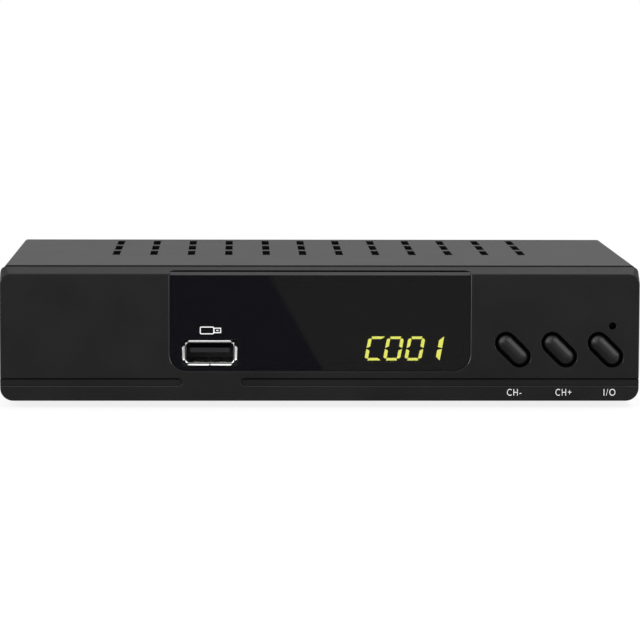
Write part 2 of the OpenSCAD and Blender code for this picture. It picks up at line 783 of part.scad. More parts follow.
// Infrared eye behind the window: a moulded block with a round lens
module infrared_receiver() {
    eye_x = -8;
    eye_z = window_z0 + 13;
    eye_w = 5.4;
    eye_h = 7;
    eye_d = 2.6;
    eye_lens = 1.5;
    color("#0c0c10") {
        box([eye_x - eye_w / 2, front_board_y - eye_d, eye_z - eye_h / 2],
            [eye_x + eye_w / 2, front_board_y, eye_z + eye_h / 2]);
        translate([eye_x, front_board_y - eye_d, eye_z]) sphere(eye_lens);
    }
}

// Header between the boards: a strip on the main board and bent pins that reach through the front board
header_hole_r = 0.55;
header_pin = 0.6;
// It stands in the middle of the box, or further left where the display needs the room
header_side = 0.8;
header_span = (header_pins_n - 1) * header_pitch + header_pin;
header_mid = min(0, digits_x - display_border - header_side - header_span / 2);
header_w = 2.5;
header_tail = 0.8;
header_y = board_y0 + 1;
header_leg_y = header_y + header_w + 2 * header_pin;
header_z = board_z1 + header_w / 2;
function header_x(i) = header_mid + (i - (header_pins_n - 1) / 2) * header_pitch;

module header_strip() color("#15151a") difference() {
    w = header_pins_n * header_pitch;
    pin_hole_r = header_pin / 2 * sqrt(2) + seat_gap;
    box([header_mid - w / 2, header_y, board_z1],
        [header_mid + w / 2, header_y + header_w, board_z1 + header_w]);
    for (i = [0 : header_pins_n - 1])
        bar_y(header_x(i), header_z, pin_hole_r, header_y - 1, header_y + header_w + 1);
}

module header_pins() color("#c8a64a") for (i = [0 : header_pins_n - 1]) {
    h = header_pin / 2;
    x = header_x(i);
    box([x - h, front_board_y - header_tail, header_z - h], [x + h, header_leg_y + h, header_z + h]);
    box([x - h, header_leg_y - h, board_z0 - header_tail], [x + h, header_leg_y + h, header_z + h]);
}

// Main board and what it carries

// The nose of the board under the data socket: its width beside the socket, and how far it lies back
nose_side = 2;
nose_back = 1.5;

module main_board() color("#1f5230") difference() {
    union() {
        box([-board_x, board_y0, board_z0], [board_x, board_y1, board_z1]);
        box([data_x - data_out_w / 2 - nose_side, data_y0 + nose_back, board_z0],
            [data_x + data_out_w / 2 + nose_side, board_y0 + 1, board_z1]);
    }
    for (p = pillar_at) translate([p[0], p[1], board_z0 - 1]) cylinder(r = free_hole_r, h = board_t + 2);
    for (i = [0 : header_pins_n - 1])
        translate([header_x(i), header_leg_y, board_z0 - 1]) cylinder(r = header_hole_r, h = board_t + 2);
}

module board_pillars() color("#b8a25a") for (p = pillar_at) translate([p[0], p[1], floor_z1]) difference() {
    pillar_h = board_z0 - floor_z1;
    cylinder(r = pillar_r, h = pillar_h);
    translate([0, 0, pillar_h - board_screw[2]]) cylinder(r = thread_r + screw_gap, h = board_screw[2] + 1);
}

module board_screws() color("#8d8f92") for (p = pillar_at)
    translate([p[0], p[1], board_z1]) screw(board_screw, thread_r);

// A block that lies on the board, with its middle at a place
module chip(at, size) translate([at[0] - size[0] / 2, at[1] - size[1] / 2, board_z1]) cube(size);

processor_at = [2, 50];
processor_size = [17, 17, 1.6];
memory_at = [-30, 50];
memory_size = [13, 9, 1.1];
flash_at = [-30, 33];
flash_size = [5, 6, 1.6];
inductor_at = [[-66, 34], [-54, 34], [-42, 34]];
inductor_size = [7, 7, 4];
crystal_at = [24, 44];
crystal_size = [7, 4.5, 3.4];
heatsink_z = board_z1 + processor_size[2];
heatsink_side = 28;
heatsink_base = 2;
fin_n = 8;
fin_h = 7;
fin_t = 1.2;

module processor() color("#1c1c1e") chip(processor_at, processor_size);

module heatsink() color("#9a9ca0") translate([processor_at[0], processor_at[1], heatsink_z]) {
    s = heatsink_side;
    translate([-s / 2, -s / 2, 0]) cube([s, s, heatsink_base]);
    for (i = [0 : fin_n - 1])
        translate([-s / 2 + i * (s - fin_t) / (fin_n - 1), -s / 2, 0])
            cube([fin_t, s, heatsink_base + fin_h]);
}

module memory_chip() color("#1c1c1e") chip(memory_at, memory_size);

module flash_chip() color("#1c1c1e") chip(flash_at, flash_size);

capacitor_r = 4;
capacitor_h = 11;
capacitor_at = [[-67, 60], [-57, 60], [-67, 49], [-57, 49], [22, 66], [22, 76]];

module capacitors() color("#20242c") for (p = capacitor_at)
    translate([p[0], p[1], board_z1]) cylinder(r = capacitor_r, h = capacitor_h);

module inductors() color("#3d3d3f") for (at = inductor_at) chip(at, inductor_size);

module crystal() color("#c4c6c8") {
    chip(crystal_at, crystal_size);
    for (s = [-1, 1]) translate([crystal_at[0] + s * crystal_size[0] / 2, crystal_at[1], board_z1])
        cylinder(r = crystal_size[1] / 2, h = crystal_size[2]);
}

// Tuner: a screening can, open underneath, with the two aerial sockets on its rear face
module tuner_can() color("#c3c5c6") {
    x0 = aerial_out_x - can_side;
    x1 = aerial_in_x + can_side;
    y0 = can_y1 - can_d;
    difference() {
        box([x0, y0, board_z1], [x1, can_y1, board_z1 + can_h]);
        box([x0 + can_wall, y0 + can_wall, board_z1 - 1],
            [x1 - can_wall, can_y1 - can_wall, board_z1 + can_h - can_wall]);
    }
}

module aerial_barrel(x, r, bore) difference() {
    union() {
        bar_y(x, socket_z, r + aerial_root, can_y1, root_y);
        bar_y(x, socket_z, r, root_y - eps, case_d + aerial_len);
    }
    bar_y(x, socket_z, bore, can_y1 - 1, case_d + aerial_len + 1);
}

module aerial_insulator(x, bore, core_r) difference() {
    bar_y(x, socket_z, bore - seat_gap, can_y1, can_y1 + insulator_t);
    bar_y(x, socket_z, core_r + seat_gap, can_y1 - 1, can_y1 + insulator_t + 1);
}

aerial_tube_r = 1.75;
aerial_tube_bore = 1.25;
aerial_pin_r = 1.17;
aerial_recess = 1;

module aerial_in_barrel() color("#b9bcc0") aerial_barrel(aerial_in_x, aerial_in_r, aerial_in_bore);

module aerial_in_insulator() color("#e6e2d8") aerial_insulator(aerial_in_x, aerial_in_bore, aerial_tube_r);

module aerial_in_contact() color("#c8a64a") difference() {
    bar_y(aerial_in_x, socket_z, aerial_tube_r, can_y1, case_d + aerial_len - aerial_recess);
    bar_y(aerial_in_x, socket_z, aerial_tube_bore, can_y1 + insulator_t, case_d + aerial_len);
}

module aerial_out_barrel() color("#b9bcc0") aerial_barrel(aerial_out_x, aerial_out_r, aerial_out_bore);

module aerial_out_insulator() color("#e6e2d8") aerial_insulator(aerial_out_x, aerial_out_bore, aerial_pin_r);

module aerial_out_pin() color("#c8a64a")
    bar_y(aerial_out_x, socket_z, aerial_pin_r, can_y1, case_d + aerial_len);

// Audio jack: a moulded body with a bored nose, and a metal ring over the nose
audio_ring_t = 0.65;
audio_root = 0.8;
audio_bore_len = 15;
audio_body_w = 10;
audio_body_len = 11;
audio_ring_proud = 0.3;
audio_body_y = rear_in - 0.2;
audio_nose_y = case_d + audio_len - audio_ring_proud;

module audio_jack_body() color("#c9661f") difference() {
    union() {
        box([audio_x - audio_body_w / 2, audio_body_y - audio_body_len, board_z1],
            [audio_x + audio_body_w / 2, audio_body_y, socket_z + audio_body_w / 2]);
        bar_y(audio_x, socket_z, audio_r + audio_root, audio_body_y - eps, root_y);
        bar_y(audio_x, socket_z, audio_r - audio_ring_t - seat_gap, audio_body_y - 1, audio_nose_y);
    }
    bar_y(audio_x, socket_z, audio_bore, audio_nose_y - audio_bore_len, audio_nose_y + 1);
}

module audio_jack_ring() color("#c4c6c8") difference() {
    bar_y(audio_x, socket_z, audio_r, root_y, case_d + audio_len);
    bar_y(audio_x, socket_z, audio_r - audio_ring_t, root_y - 1, case_d + audio_len + 1);
}

// Digital video socket: a bent shell with sloping lower corners and a tongue
module video2d(grow) {
    x = video_w / 2 + grow;
    z0 = -grow;
    z1 = video_h + grow;
    cut_x = x - video_cut[0];
    cut_z = z0 + video_cut[1];
    polygon([[-x, z1], [x, z1], [x, cut_z], [cut_x, z0], [-cut_x, z0], [-x, cut_z]]);
}

module video_socket_shell() color("#c4c6c8") difference() {
    slab(case_d + socket_proud - video_len, case_d + socket_proud) translate([video_x, board_z1]) video2d(0);
    slab(case_d + socket_proud - video_len - 1, case_d + socket_proud + 1)
        translate([video_x, board_z1]) video2d(-video_t);
}

module video_socket_tongue() {
    y0 = case_d + socket_proud - video_len;
    back_t = 3;
    tongue_w = 11.2;
    tongue_h = 1.2;
    tongue_z = board_z1 + video_h * 0.55;
    color("#141414") {
        slab(y0, y0 + back_t) translate([video_x, board_z1]) video2d(-video_t - seat_gap);
        box([video_x - tongue_w / 2, y0 + back_t - eps, tongue_z - tongue_h / 2],
            [video_x + tongue_w / 2, case_d - 1, tongue_z + tongue_h / 2]);
    }
}

// Multi-way AV socket: a block with a sheath groove of one slanting end, and two rows of blade slots
module av2d(grow) translate([-av_w / 2 - grow, -grow]) square([av_w + 2 * grow, av_h + 2 * grow]);

module av_mouth2d(inset) {
    x = av_mouth_w / 2 - inset;
    z = av_mouth_h / 2 - inset;
    cut = av_mouth_cut - inset * 0.4;
    translate([0, av_h / 2]) polygon([[-x, z], [x, z], [x, -z], [-x + cut, -z], [-x, -z + cut]]);
}

function av_slot_x(i, row) = (i - (av_ways - 1) / 2) * av_pitch + (row - 0.5) * av_pitch / 2;
function av_slot_z(row) = av_h / 2 + (row - 0.5) * (av_slot[1] + av_rib);

module av_socket_body() {
    y1 = case_d + socket_proud;
    color("#17171a") difference() {
        slab(y1 - av_len, y1) translate([av_x, board_z1]) av2d(0);
        slab(y1 - av_depth, y1 + 1) translate([av_x, board_z1]) difference() {
            av_mouth2d(0);
            av_mouth2d(av_groove);
        }
        for (i = [0 : av_ways - 1], row = [0, 1])
            slab(y1 - av_depth, y1 + 1) translate([av_x + av_slot_x(i, row), board_z1 + av_slot_z(row)])
                square(av_slot, center = true);
    }
}

module av_socket_contacts() {
    y1 = case_d + socket_proud;
    color("#c8a64a") for (i = [0 : av_ways - 1], row = [0, 1])
        slab(y1 - av_depth, y1 - 1) translate([av_x + av_slot_x(i, row), board_z1 + av_slot_z(row)])
            square(av_blade, center = true);
}

// Power jack: a moulded block with a round bore and a centre pin
power_bore_len = 9.5;
power_pin_recess = 0.8;

module power2d(grow) translate([-power_w / 2 - grow, -grow]) square([power_w + 2 * grow, power_h + 2 * grow]);

module power_jack_body() {
    y1 = case_d + socket_proud;
    color("#17171a") difference() {
        slab(y1 - power_len, y1) translate([power_x, board_z1]) power2d(0);
        bar_y(power_x, socket_z, power_bore, y1 - power_bore_len, y1 + 1);
    }
}

module power_jack_pin() {
    y1 = case_d + socket_proud;
    color("#c4c6c8") bar_y(power_x, socket_z, power_pin_r, y1 - power_bore_len, y1 - power_pin_recess);
}

// Data socket in the window

module data2d(grow) {
    w = data_w / 2 + grow;
    h = data_h / 2 + grow;
    r = data_corner_r;
    translate([data_x, data_z]) plate2d(-w, w, -h, h, r, r);
}

// One flared lip, drawn for the top of the shell and turned to each side
module data_lip(width, reach, flare) {
    profile = [
        [data_y0 + data_lip_root, reach - data_t], [data_y0 + data_lip_root, reach], [data_y0, reach],
        [data_flare_y, reach + flare], [data_flare_y, reach + flare - data_lip_edge],
        [data_y0, reach - data_t]
    ];
    translate([-width / 2, 0, 0]) rotate([90, 0, 90]) linear_extrude(width) polygon(profile);
}

module data_socket_shell() color("#c9cbcd") {
    difference() {
        slab(data_y0, data_y0 + data_len) data2d(data_t);
        slab(data_y0 - 1, data_y0 + data_len + 1) data2d(0);
    }
    translate([data_x, 0, data_z]) for (turn = [0, 180])
        rotate([0, turn, 0]) data_lip(data_w - data_lip_short[0], data_out_h / 2, data_flare_up);
    translate([data_x, 0, data_z]) for (turn = [90, 270])
        rotate([0, turn, 0]) data_lip(data_h - data_lip_short[1], data_out_w / 2, data_flare);
}

data_block_t = 2.5;
data_block_y = data_y0 + data_len - data_block_t;
tongue_z1 = data_z + data_h / 2 - data_tongue_drop;
data_contact_x = [-3.5, -1, 1, 3.5];
data_contact_w = 1;
data_contact_t = 0.2;
data_contact_back = 2.5;

module data_socket_tongue() color("#202020") {
    slab(data_block_y, data_y0 + data_len) data2d(-seat_gap);
    box([data_x - data_tongue_w / 2, data_tongue_y, tongue_z1 - data_tongue_h],
        [data_x + data_tongue_w / 2, data_block_y + eps, tongue_z1]);
}

module data_socket_contacts() color("#c8a64a") for (x = data_contact_x) {
    z1 = tongue_z1 - data_tongue_h;
    box([data_x + x - data_contact_w / 2, data_tongue_y + data_contact_back, z1 - data_contact_t],
        [data_x + x + data_contact_w / 2, data_block_y, z1]);
}

// Case fasteners

module cover_screws() color("#2a2a2a") for (side = [-1, 1], y = cover_screw_y)
    translate([side * cover_x, y, cover_screw_z]) rotate([0, side * 90, 0]) screw(cover_screw, thread_r);

module panel_screws() color("#2a2a2a") for (s = [-1, 1])
    translate([s * lug_x, lug_screw_y, floor_z0]) rotate([180, 0, 0]) screw(panel_screw, thread_r);

placed() {
    front_panel();
    display_window();
    top_cover();
    base_chassis();
    switch_covers();
    front_board();
    front_board_screws();
    display_housing();
    lit_segments();
    unlit_segments();
    standby_led();
    infrared_receiver();
    header_strip();
    header_pins();
    main_board();
    board_pillars();
    board_screws();
    processor();
    heatsink();
    memory_chip();
    flash_chip();
    capacitors();
    inductors();
    crystal();
    tuner_can();
    aerial_in_barrel();
    aerial_in_insulator();
    aerial_in_contact();
    aerial_out_barrel();
    aerial_out_insulator();
    aerial_out_pin();
    audio_jack_body();
    audio_jack_ring();
    video_socket_shell();
    video_socket_tongue();
    av_socket_body();
    av_socket_contacts();
    power_jack_body();
    power_jack_pin();
    data_socket_shell();
    data_socket_tongue();
    data_socket_contacts();
    cover_screws();
    panel_screws();
    for (i = [0 : key_n - 1]) {
        button(i);
        switch_plunger(i);
        snap_dome(i);
        switch_housing(i);
    }
    for (i = [0 : len(FEET) - 1]) foot(i);
}
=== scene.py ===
# %% [markdown]
# # A small cable television receiver
# This lesson finishes a receiver of the kind that stands under a television: a black moulded front with a
# smoked window, three slanted buttons and a data socket, a bent steel cover with vent slots, and a row of
# sockets at the back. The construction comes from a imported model. What shows on the outside is modelled
# again here with its rounded edges, and everything gets a finish.

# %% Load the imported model
from math import acos, asin, atan2, cos, pi, radians, sin, tan

import bmesh
import bpy
from mathutils import Matrix, Vector


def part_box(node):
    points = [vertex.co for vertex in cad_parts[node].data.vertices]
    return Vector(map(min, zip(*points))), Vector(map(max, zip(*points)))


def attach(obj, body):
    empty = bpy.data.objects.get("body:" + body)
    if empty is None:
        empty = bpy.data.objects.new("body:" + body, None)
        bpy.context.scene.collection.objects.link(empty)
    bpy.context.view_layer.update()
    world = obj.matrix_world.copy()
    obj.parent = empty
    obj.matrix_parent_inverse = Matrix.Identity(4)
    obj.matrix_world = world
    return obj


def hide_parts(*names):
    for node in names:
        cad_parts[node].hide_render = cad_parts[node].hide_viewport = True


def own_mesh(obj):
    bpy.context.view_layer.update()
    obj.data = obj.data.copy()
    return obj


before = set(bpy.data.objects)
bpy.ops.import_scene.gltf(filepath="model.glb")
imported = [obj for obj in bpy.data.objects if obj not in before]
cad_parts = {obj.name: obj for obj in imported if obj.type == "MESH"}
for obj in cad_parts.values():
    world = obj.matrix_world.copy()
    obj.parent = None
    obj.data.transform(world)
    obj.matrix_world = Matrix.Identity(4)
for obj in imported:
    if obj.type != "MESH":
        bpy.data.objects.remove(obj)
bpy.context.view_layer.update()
print("pieces in the packed model:", len(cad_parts))

# %% [markdown]
# ## Where things are
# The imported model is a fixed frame, so each finished piece keeps the place of the node that it stands for.
# The shapes below are written as the front would be drawn on paper, in millimetres: x to the right, y back
# from the front face and z up from the table. Two functions go between that drawing and the frame's metres.

# %% Millimetres and metres
MM = 0.001
front_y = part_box("front_panel")[0].y


def at(x, y, z):
    """A point of the drawing as a place in the frame."""
    return Vector((x * MM, front_y + y * MM, z * MM))


def drawn_box(node):
    """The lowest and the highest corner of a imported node, in the drawing's millimetres."""
    shift = Vector((0, front_y, 0))
    return tuple((corner - shift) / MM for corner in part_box(node))


panel_low, panel_high = drawn_box("front_panel")
window_low, window_high = drawn_box("display_window")
cover_low, cover_high = drawn_box("top_cover")
print("front panel", panel_high.x - panel_low.x, "mm wide")

# %% [markdown]
# ## The camera
# The photograph was taken with a long lens from a little left of the middle and slightly above, so that a
# thin strip of the cover shows. The place, the angles and the focal length were worked out from where the
# front's corners and the cover's edges lie in the picture.

# %% Camera
camera_place = (-0.02144, -0.96996, 0.11283)
camera_down = 5.577
camera_right = 1.334
camera_roll = 0.161
camera = bpy.data.objects.new("camera", bpy.data.cameras.new("camera"))
camera.data.lens = 197.75
camera.data.sensor_width = 36
camera.location = camera_place
aim = Matrix.Rotation(radians(-camera_right), 3, "Z") @ Matrix.Rotation(radians(90 - camera_down), 3, "X")
camera.rotation_euler = (aim @ Matrix.Rotation(radians(camera_roll), 3, "Z")).to_euler()
bpy.context.scene.collection.objects.link(camera)
bpy.context.scene.camera = camera
print("camera", camera_place)

# %% [markdown]
# ## Outlines, lofts and cuts
# A moulded or stamped piece is mostly one outline that changes a little from front to back. So the main
# tool here is a loft: a list of rings with equally many points, joined ring by ring and closed at the ends.
# The same tool turns round pieces, whose rings are circles. Holes are cut with lofts as well, whose first
# rings are wider, which leaves a rounded mouth as on a real moulding. A cutter starts and ends a little
# past what it cuts, because faces that lie on each other cut badly.

# %% Outlines
CORNER_STEPS = 8
SHARP = 0.02
PAST = 1.0


def outline(corners, steps=CORNER_STEPS):
    """A closed outline from corners (x, z, radius), with an arc at each corner."""
    points = []
    for k, (x, z, radius) in enumerate(corners):
        here = Vector((x, z))
        back = (Vector(corners[k - 1][:2]) - here).normalized()
        on = (Vector(corners[(k + 1) % len(corners)][:2]) - here).normalized()
        half = back.angle(on) / 2
        centre = here + (back + on).normalized() * radius / sin(half)
        start = here + back * radius / tan(half) - centre
        end = here + on * radius / tan(half) - centre
        sweep = atan2(start.cross(end), start.dot(end))
        for i in range(steps + 1):
            points.append(centre + Matrix.Rotation(sweep * i / steps, 2) @ start)
    return points


def plate(x0, x1, z0, z1, low_r, high_r):
    """A rectangle with its own radius at the lower and at the upper corners."""
    return outline([(x0, z0, low_r), (x1, z0, low_r), (x1, z1, high_r), (x0, z1, high_r)])


def pill(x, z, length, radius, lean=0, steps=12):
    """An outline with two round ends, turned down to the right by its lean."""
    points = []
    for side in (1, -1):
        for i in range(steps + 1):
            turn = radians(-90 + 180 * i / steps)
            points.append(side * Vector((length / 2 + radius * cos(turn), radius * sin(turn))))
    leaning = Matrix.Rotation(radians(-lean), 2)
    return [Vector((x, z)) + leaning @ p for p in points]


def ring(points, y):
    """An outline of the front view, standing at a depth."""
    return [(p.x, y, p.y) for p in points]


def edge_arc(radius, steps=4):
    """Pairs of depth and inset along a rounded edge, from the front of it to its side."""
    angles = [radians(90) * i / steps for i in range(steps + 1)]
    return [(radius * (1 - cos(a)), radius * (1 - sin(a))) for a in angles]


def mouth_arc(radius, steps=4):
    """Pairs of depth and extra width along a hole's rounded mouth, from the open air inwards."""
    angles = [radians(90) * (1 - i / steps) for i in range(steps + 1)]
    return [(-PAST, radius)] + [(radius * (1 - sin(a)), radius * (1 - cos(a))) for a in angles]


print("points in a rounded rectangle:", len(plate(0, 2, 0, 1, SHARP, SHARP)))

# %% Lofts
MERGE = 0.002


def make_object(name, vertices, faces):
    """A closed mesh, given in millimetres, as an object of the scene with its faces turned outwards."""
    mesh = bpy.data.meshes.new(name)
    mesh.from_pydata([at(*v) for v in vertices], [], faces)
    shape = bmesh.new()
    shape.from_mesh(mesh)
    bmesh.ops.remove_doubles(shape, verts=shape.verts, dist=MERGE * MM)
    bmesh.ops.recalc_face_normals(shape, faces=shape.faces)
    shape.to_mesh(mesh)
    shape.free()
    obj = bpy.data.objects.new(name, mesh)
    bpy.context.scene.collection.objects.link(obj)
    return obj


def loft(name, rings, hollow=False):
    """Rings of points joined in their order. A hollow one is joined back to its first ring."""
    count = len(rings[0])
    vertices = [point for one in rings for point in one]
    faces = []
    for k in range(len(rings) if hollow else len(rings) - 1):
        near = k * count
        far = (k + 1) % len(rings) * count
        for i in range(count):
            j = (i + 1) % count
            faces.append((near + i, near + j, far + j, far + i))
    if not hollow:
        faces.append(tuple(range(count)))
        faces.append(tuple(range((len(rings) - 1) * count, len(rings) * count)))
    return make_object(name, vertices, faces)


def turned(name, profile, place, hollow=False, sides=64):
    """Turn (radius, distance) pairs round an axis. Place makes a point of radius, angle and distance."""
    angles = [2 * pi * i / sides for i in range(sides)]
    return loft(name, [[place(r, a, d) for a in angles] for r, d in profile], hollow)


# %% Cuts
def settle(obj):
    """Turn the result of an object's modifiers into its plain mesh."""
    result = obj.evaluated_get(bpy.context.evaluated_depsgraph_get())
    mesh = bpy.data.meshes.new_from_object(result)
    obj.modifiers.clear()
    obj.data = mesh


def combine(obj, tools, operation="DIFFERENCE"):
    """Cut tools out of a piece, or unite them with it, and remove the tools."""
    for tool in tools:
        cut = obj.modifiers.new(tool.name, "BOOLEAN")
        cut.operation = operation
        cut.solver = "EXACT"
        cut.object = tool
    settle(obj)
    for tool in tools:
        bpy.data.objects.remove(tool)


def hole(name, shape, depth, mouth):
    """A cutter with a rounded mouth. Shape gives the outline for an extra width."""
    rings = [ring(shape(extra), y) for y, extra in mouth_arc(mouth)]
    return loft(name, rings + [ring(shape(0), depth)])


# %% [markdown]
# ## Nodes in a few words
# Finishes and repeating details are both node trees, so one helper adds a node to either kind: an input is
# given as a plain value, or as the output of another node.

# %% Helper for node trees
def add_node(tree, kind, inputs=None, **settings):
    """A new node. Settings are its own properties; an input takes a value or another node's output."""
    node = tree.nodes.new(kind)
    for key, value in settings.items():
        setattr(node, key, value)
    for key, value in (inputs or {}).items():
        if isinstance(value, bpy.types.NodeSocket):
            tree.links.new(value, node.inputs[key])
        else:
            node.inputs[key].default_value = value
    return node


# %% [markdown]
# ## Finishes
# Black plastic, painted steel and plated steel differ less in colour than in how they shine. An image of
# their surface would have to be unwrapped and would repeat, so noise on the object's own coordinates
# makes it. Each finish has a fine grain of its own size, which stands out as a shallow bump, and a much
# broader one, which tints the colour a little and changes the roughness from patch to patch. A stretched
# grain gives the lines of rolled or brushed metal. Numbers that are the same all over a surface are set
# on the shader itself.

# %% Grain
NOISE_LOW, NOISE_HIGH = 0.3, 0.7


def grain(tree, size, stretch=(1, 1, 1), detail=3):
    """Noise whose patches are about so many millimetres wide, stretched along the axes."""
    place = add_node(tree, "ShaderNodeTexCoord").outputs["Object"]
    scale = [1 / (size * MM * s) for s in stretch]
    mapped = add_node(tree, "ShaderNodeMapping", {"Vector": place, "Scale": scale})
    noise = add_node(tree, "ShaderNodeTexNoise", {"Vector": mapped.outputs[0], "Scale": 1, "Detail": detail})
    return noise.outputs[0]


def between(tree, factor, low, high):
    """A number that runs from low to high with the middle part of a noise."""
    return add_node(tree, "ShaderNodeMapRange", {
        "Value": factor, "From Min": NOISE_LOW, "From Max": NOISE_HIGH, "To Min": low, "To Max": high,
    }).outputs[0]


def tinted(tree, factor, colours):
    """A colour that runs through a list of colours with the middle part of a noise."""
    ramp = add_node(tree, "ShaderNodeValToRGB", {"Fac": factor})
    stops = ramp.color_ramp.elements
    while len(stops) < len(colours):
        stops.new(0.5)
    for k, colour in enumerate(colours):
        stops[k].position = NOISE_LOW + (NOISE_HIGH - NOISE_LOW) * k / (len(colours) - 1)
        stops[k].color = (*colour, 1)
    return ramp.outputs[0]


def shade_of(colour, factor):
    """The same colour, lighter or darker."""
    return tuple(min(1, c * factor) for c in colour)


# %% Finish with a grain
BROAD = 40
ROUGH_SHARE = 0.65


def shader_of(material):
    return material.node_tree.nodes["Principled BSDF"]


def finish(name, colour, rough, size=0.4, depth=0.004, tint=0.12, stretch=(1, 1, 1), gloss=0.5, metal=0.0):
    """A grained finish. Its grain's size and depth are in millimetres, its tint is a share of the colour."""
    material = bpy.data.materials.new(name)
    material.use_nodes = True
    tree = material.node_tree
    shader = shader_of(material)
    fine = grain(tree, size, stretch)
    broad = grain(tree, size * BROAD, stretch)
    colours = [shade_of(colour, 1 - tint), shade_of(colour, 1 + tint)]
    tree.links.new(tinted(tree, broad, colours), shader.inputs["Base Color"])
    spread = tint * ROUGH_SHARE
    uneven = between(tree, broad, rough * (1 - spread), rough * (1 + spread))
    tree.links.new(uneven, shader.inputs["Roughness"])
    bump = add_node(tree, "ShaderNodeBump", {"Height": fine, "Strength": 1, "Distance": depth * MM})
    tree.links.new(bump.outputs[0], shader.inputs["Normal"])
    shader.inputs["Specular IOR Level"].default_value = gloss
    shader.inputs["Metallic"].default_value = metal
    return material


def grey(level):
    return (level, level, level)


# %% Plastics, paints and rubber
LOW_GLOSS = 0.12
PANEL_BLACK = (0.0132, 0.0132, 0.0134)
panel_plastic = finish("panel_plastic", PANEL_BLACK, rough=0.4, size=0.35, depth=0.003, gloss=0.05)
panel_edge = finish("panel_edge", PANEL_BLACK, rough=0.32, size=0.35, depth=0.002, gloss=0.4)
button_plastic = finish(
    "button_plastic", (0.005, 0.005, 0.0052), rough=0.31, size=0.3, depth=0.002, gloss=0.27)
button_skirt = finish("button_skirt", grey(0.005), rough=0.8, size=0.2, depth=0.004, gloss=0.03)
# Slot walls: a little darker and duller than the cover paint, painted shade that keeps the slots black
slot_edge_painted_shade = finish("slot_edge_painted_shade", grey(0.008), rough=0.8, size=0.2, depth=0.001, gloss=0.02)
cover_paint = finish(
    "cover_paint", (0.009, 0.009, 0.0092), rough=0.54, size=0.45, depth=0.002, tint=0.03, gloss=0.1)
chassis_paint = finish("chassis_paint", (0.035, 0.035, 0.036), rough=0.48, size=0.45, depth=0.005)
black_screw = finish("black_screw", (0.03, 0.03, 0.032), rough=0.34, size=0.2, depth=0.002)
display_plastic = finish(
    "display_plastic", (0.006, 0.006, 0.0065), rough=0.55, size=0.3, depth=0.002, gloss=LOW_GLOSS)
unlit_resin = finish("unlit_resin", (0.02, 0.021, 0.016), rough=0.4, size=0.2, depth=0.0005, gloss=LOW_GLOSS)
infrared_resin = finish("infrared_resin", (0.008, 0.006, 0.009), rough=0.15, size=0.3, depth=0.0005)
black_nylon = finish("black_nylon", (0.02, 0.02, 0.021), rough=0.45, size=0.25, depth=0.003)
# Darker than the other black nylon: painted shade on the data socket's well-lit tongue
socket_nylon_painted_shade = finish("socket_nylon_painted_shade", (0.014, 0.014, 0.0145), rough=0.45, size=0.25, depth=0.002, gloss=0.25)
chip_plastic = finish("chip_plastic", (0.018, 0.018, 0.019), rough=0.6, size=0.12, depth=0.004)
ferrite = finish("ferrite", (0.06, 0.06, 0.063), rough=0.7, size=0.2, depth=0.006)
white_insulator = finish("white_insulator", (0.72, 0.7, 0.65), rough=0.4, size=0.3, depth=0.001, tint=0.04)
orange_plastic = finish("orange_plastic", (0.55, 0.16, 0.02), rough=0.38, size=0.3, depth=0.002, tint=0.06)
plunger_plastic = finish("plunger_plastic", (0.7, 0.66, 0.55), rough=0.42, size=0.3, depth=0.001, tint=0.05)
foot_rubber = finish("foot_rubber", grey(0.012), rough=0.75, size=0.3, depth=0.008, gloss=LOW_GLOSS)
label_ink = finish("label_ink", grey(0.84), rough=0.6, size=0.15, depth=0.001, tint=0.03, gloss=LOW_GLOSS)
capacitor_can = finish("capacitor_can", (0.02, 0.024, 0.035), rough=0.3, size=0.3, depth=0.001)
led_resin = finish("led_resin", (0.004, 0.001, 0.001), rough=0.5, size=0.3, depth=0.0005, gloss=LOW_GLOSS)
print("plastics, paints and rubber:", len(bpy.data.materials))

# %% Metals
plated_steel = finish(
    "plated_steel", (0.56, 0.56, 0.555), rough=0.2, size=0.25, depth=0.001, tint=0.05,
    stretch=(1, 6, 1), metal=1.0)
screw_steel = finish(
    "screw_steel", (0.56, 0.56, 0.57), rough=0.3, size=0.2, depth=0.001, tint=0.08, metal=1.0)
plated_barrel = finish(
    "plated_barrel", (0.72, 0.71, 0.68), rough=0.24, size=0.2, depth=0.001, tint=0.06,
    stretch=(1, 5, 1), metal=1.0)
dome_steel = finish("dome_steel", (0.7, 0.7, 0.71), rough=0.22, size=0.2, depth=0.0005, tint=0.05, metal=1.0)
heatsink_aluminium = finish(
    "heatsink_aluminium", (0.5, 0.51, 0.52), rough=0.42, size=0.3, depth=0.003, tint=0.08,
    stretch=(1, 8, 1), metal=1.0)
contact_brass = finish(
    "contact_brass", (0.83, 0.6, 0.26), rough=0.25, size=0.2, depth=0.0006, tint=0.08, metal=1.0)
pillar_brass = finish(
    "pillar_brass", (0.62, 0.48, 0.24), rough=0.38, size=0.2, depth=0.002, tint=0.1,
    stretch=(1, 1, 5), metal=1.0)
print("grained finishes:", len(bpy.data.materials))

# %% [markdown]
# ## Finishes that are more than a grain
# The window is smoked acrylic: it lets less than a hundredth of the light through, so that only the glowing
# digits show behind it. Its top edge is cut at a slant and polished, and its colour is made paler there as a
# painted highlight, for the light that the strip catches. The digits glow strongly, because the smoke takes
# most of their light: how much follows from the smoke, so that they always look equally bright. The circuit
# boards have a mask over copper tracks, green on the main board and black on the one behind the window.

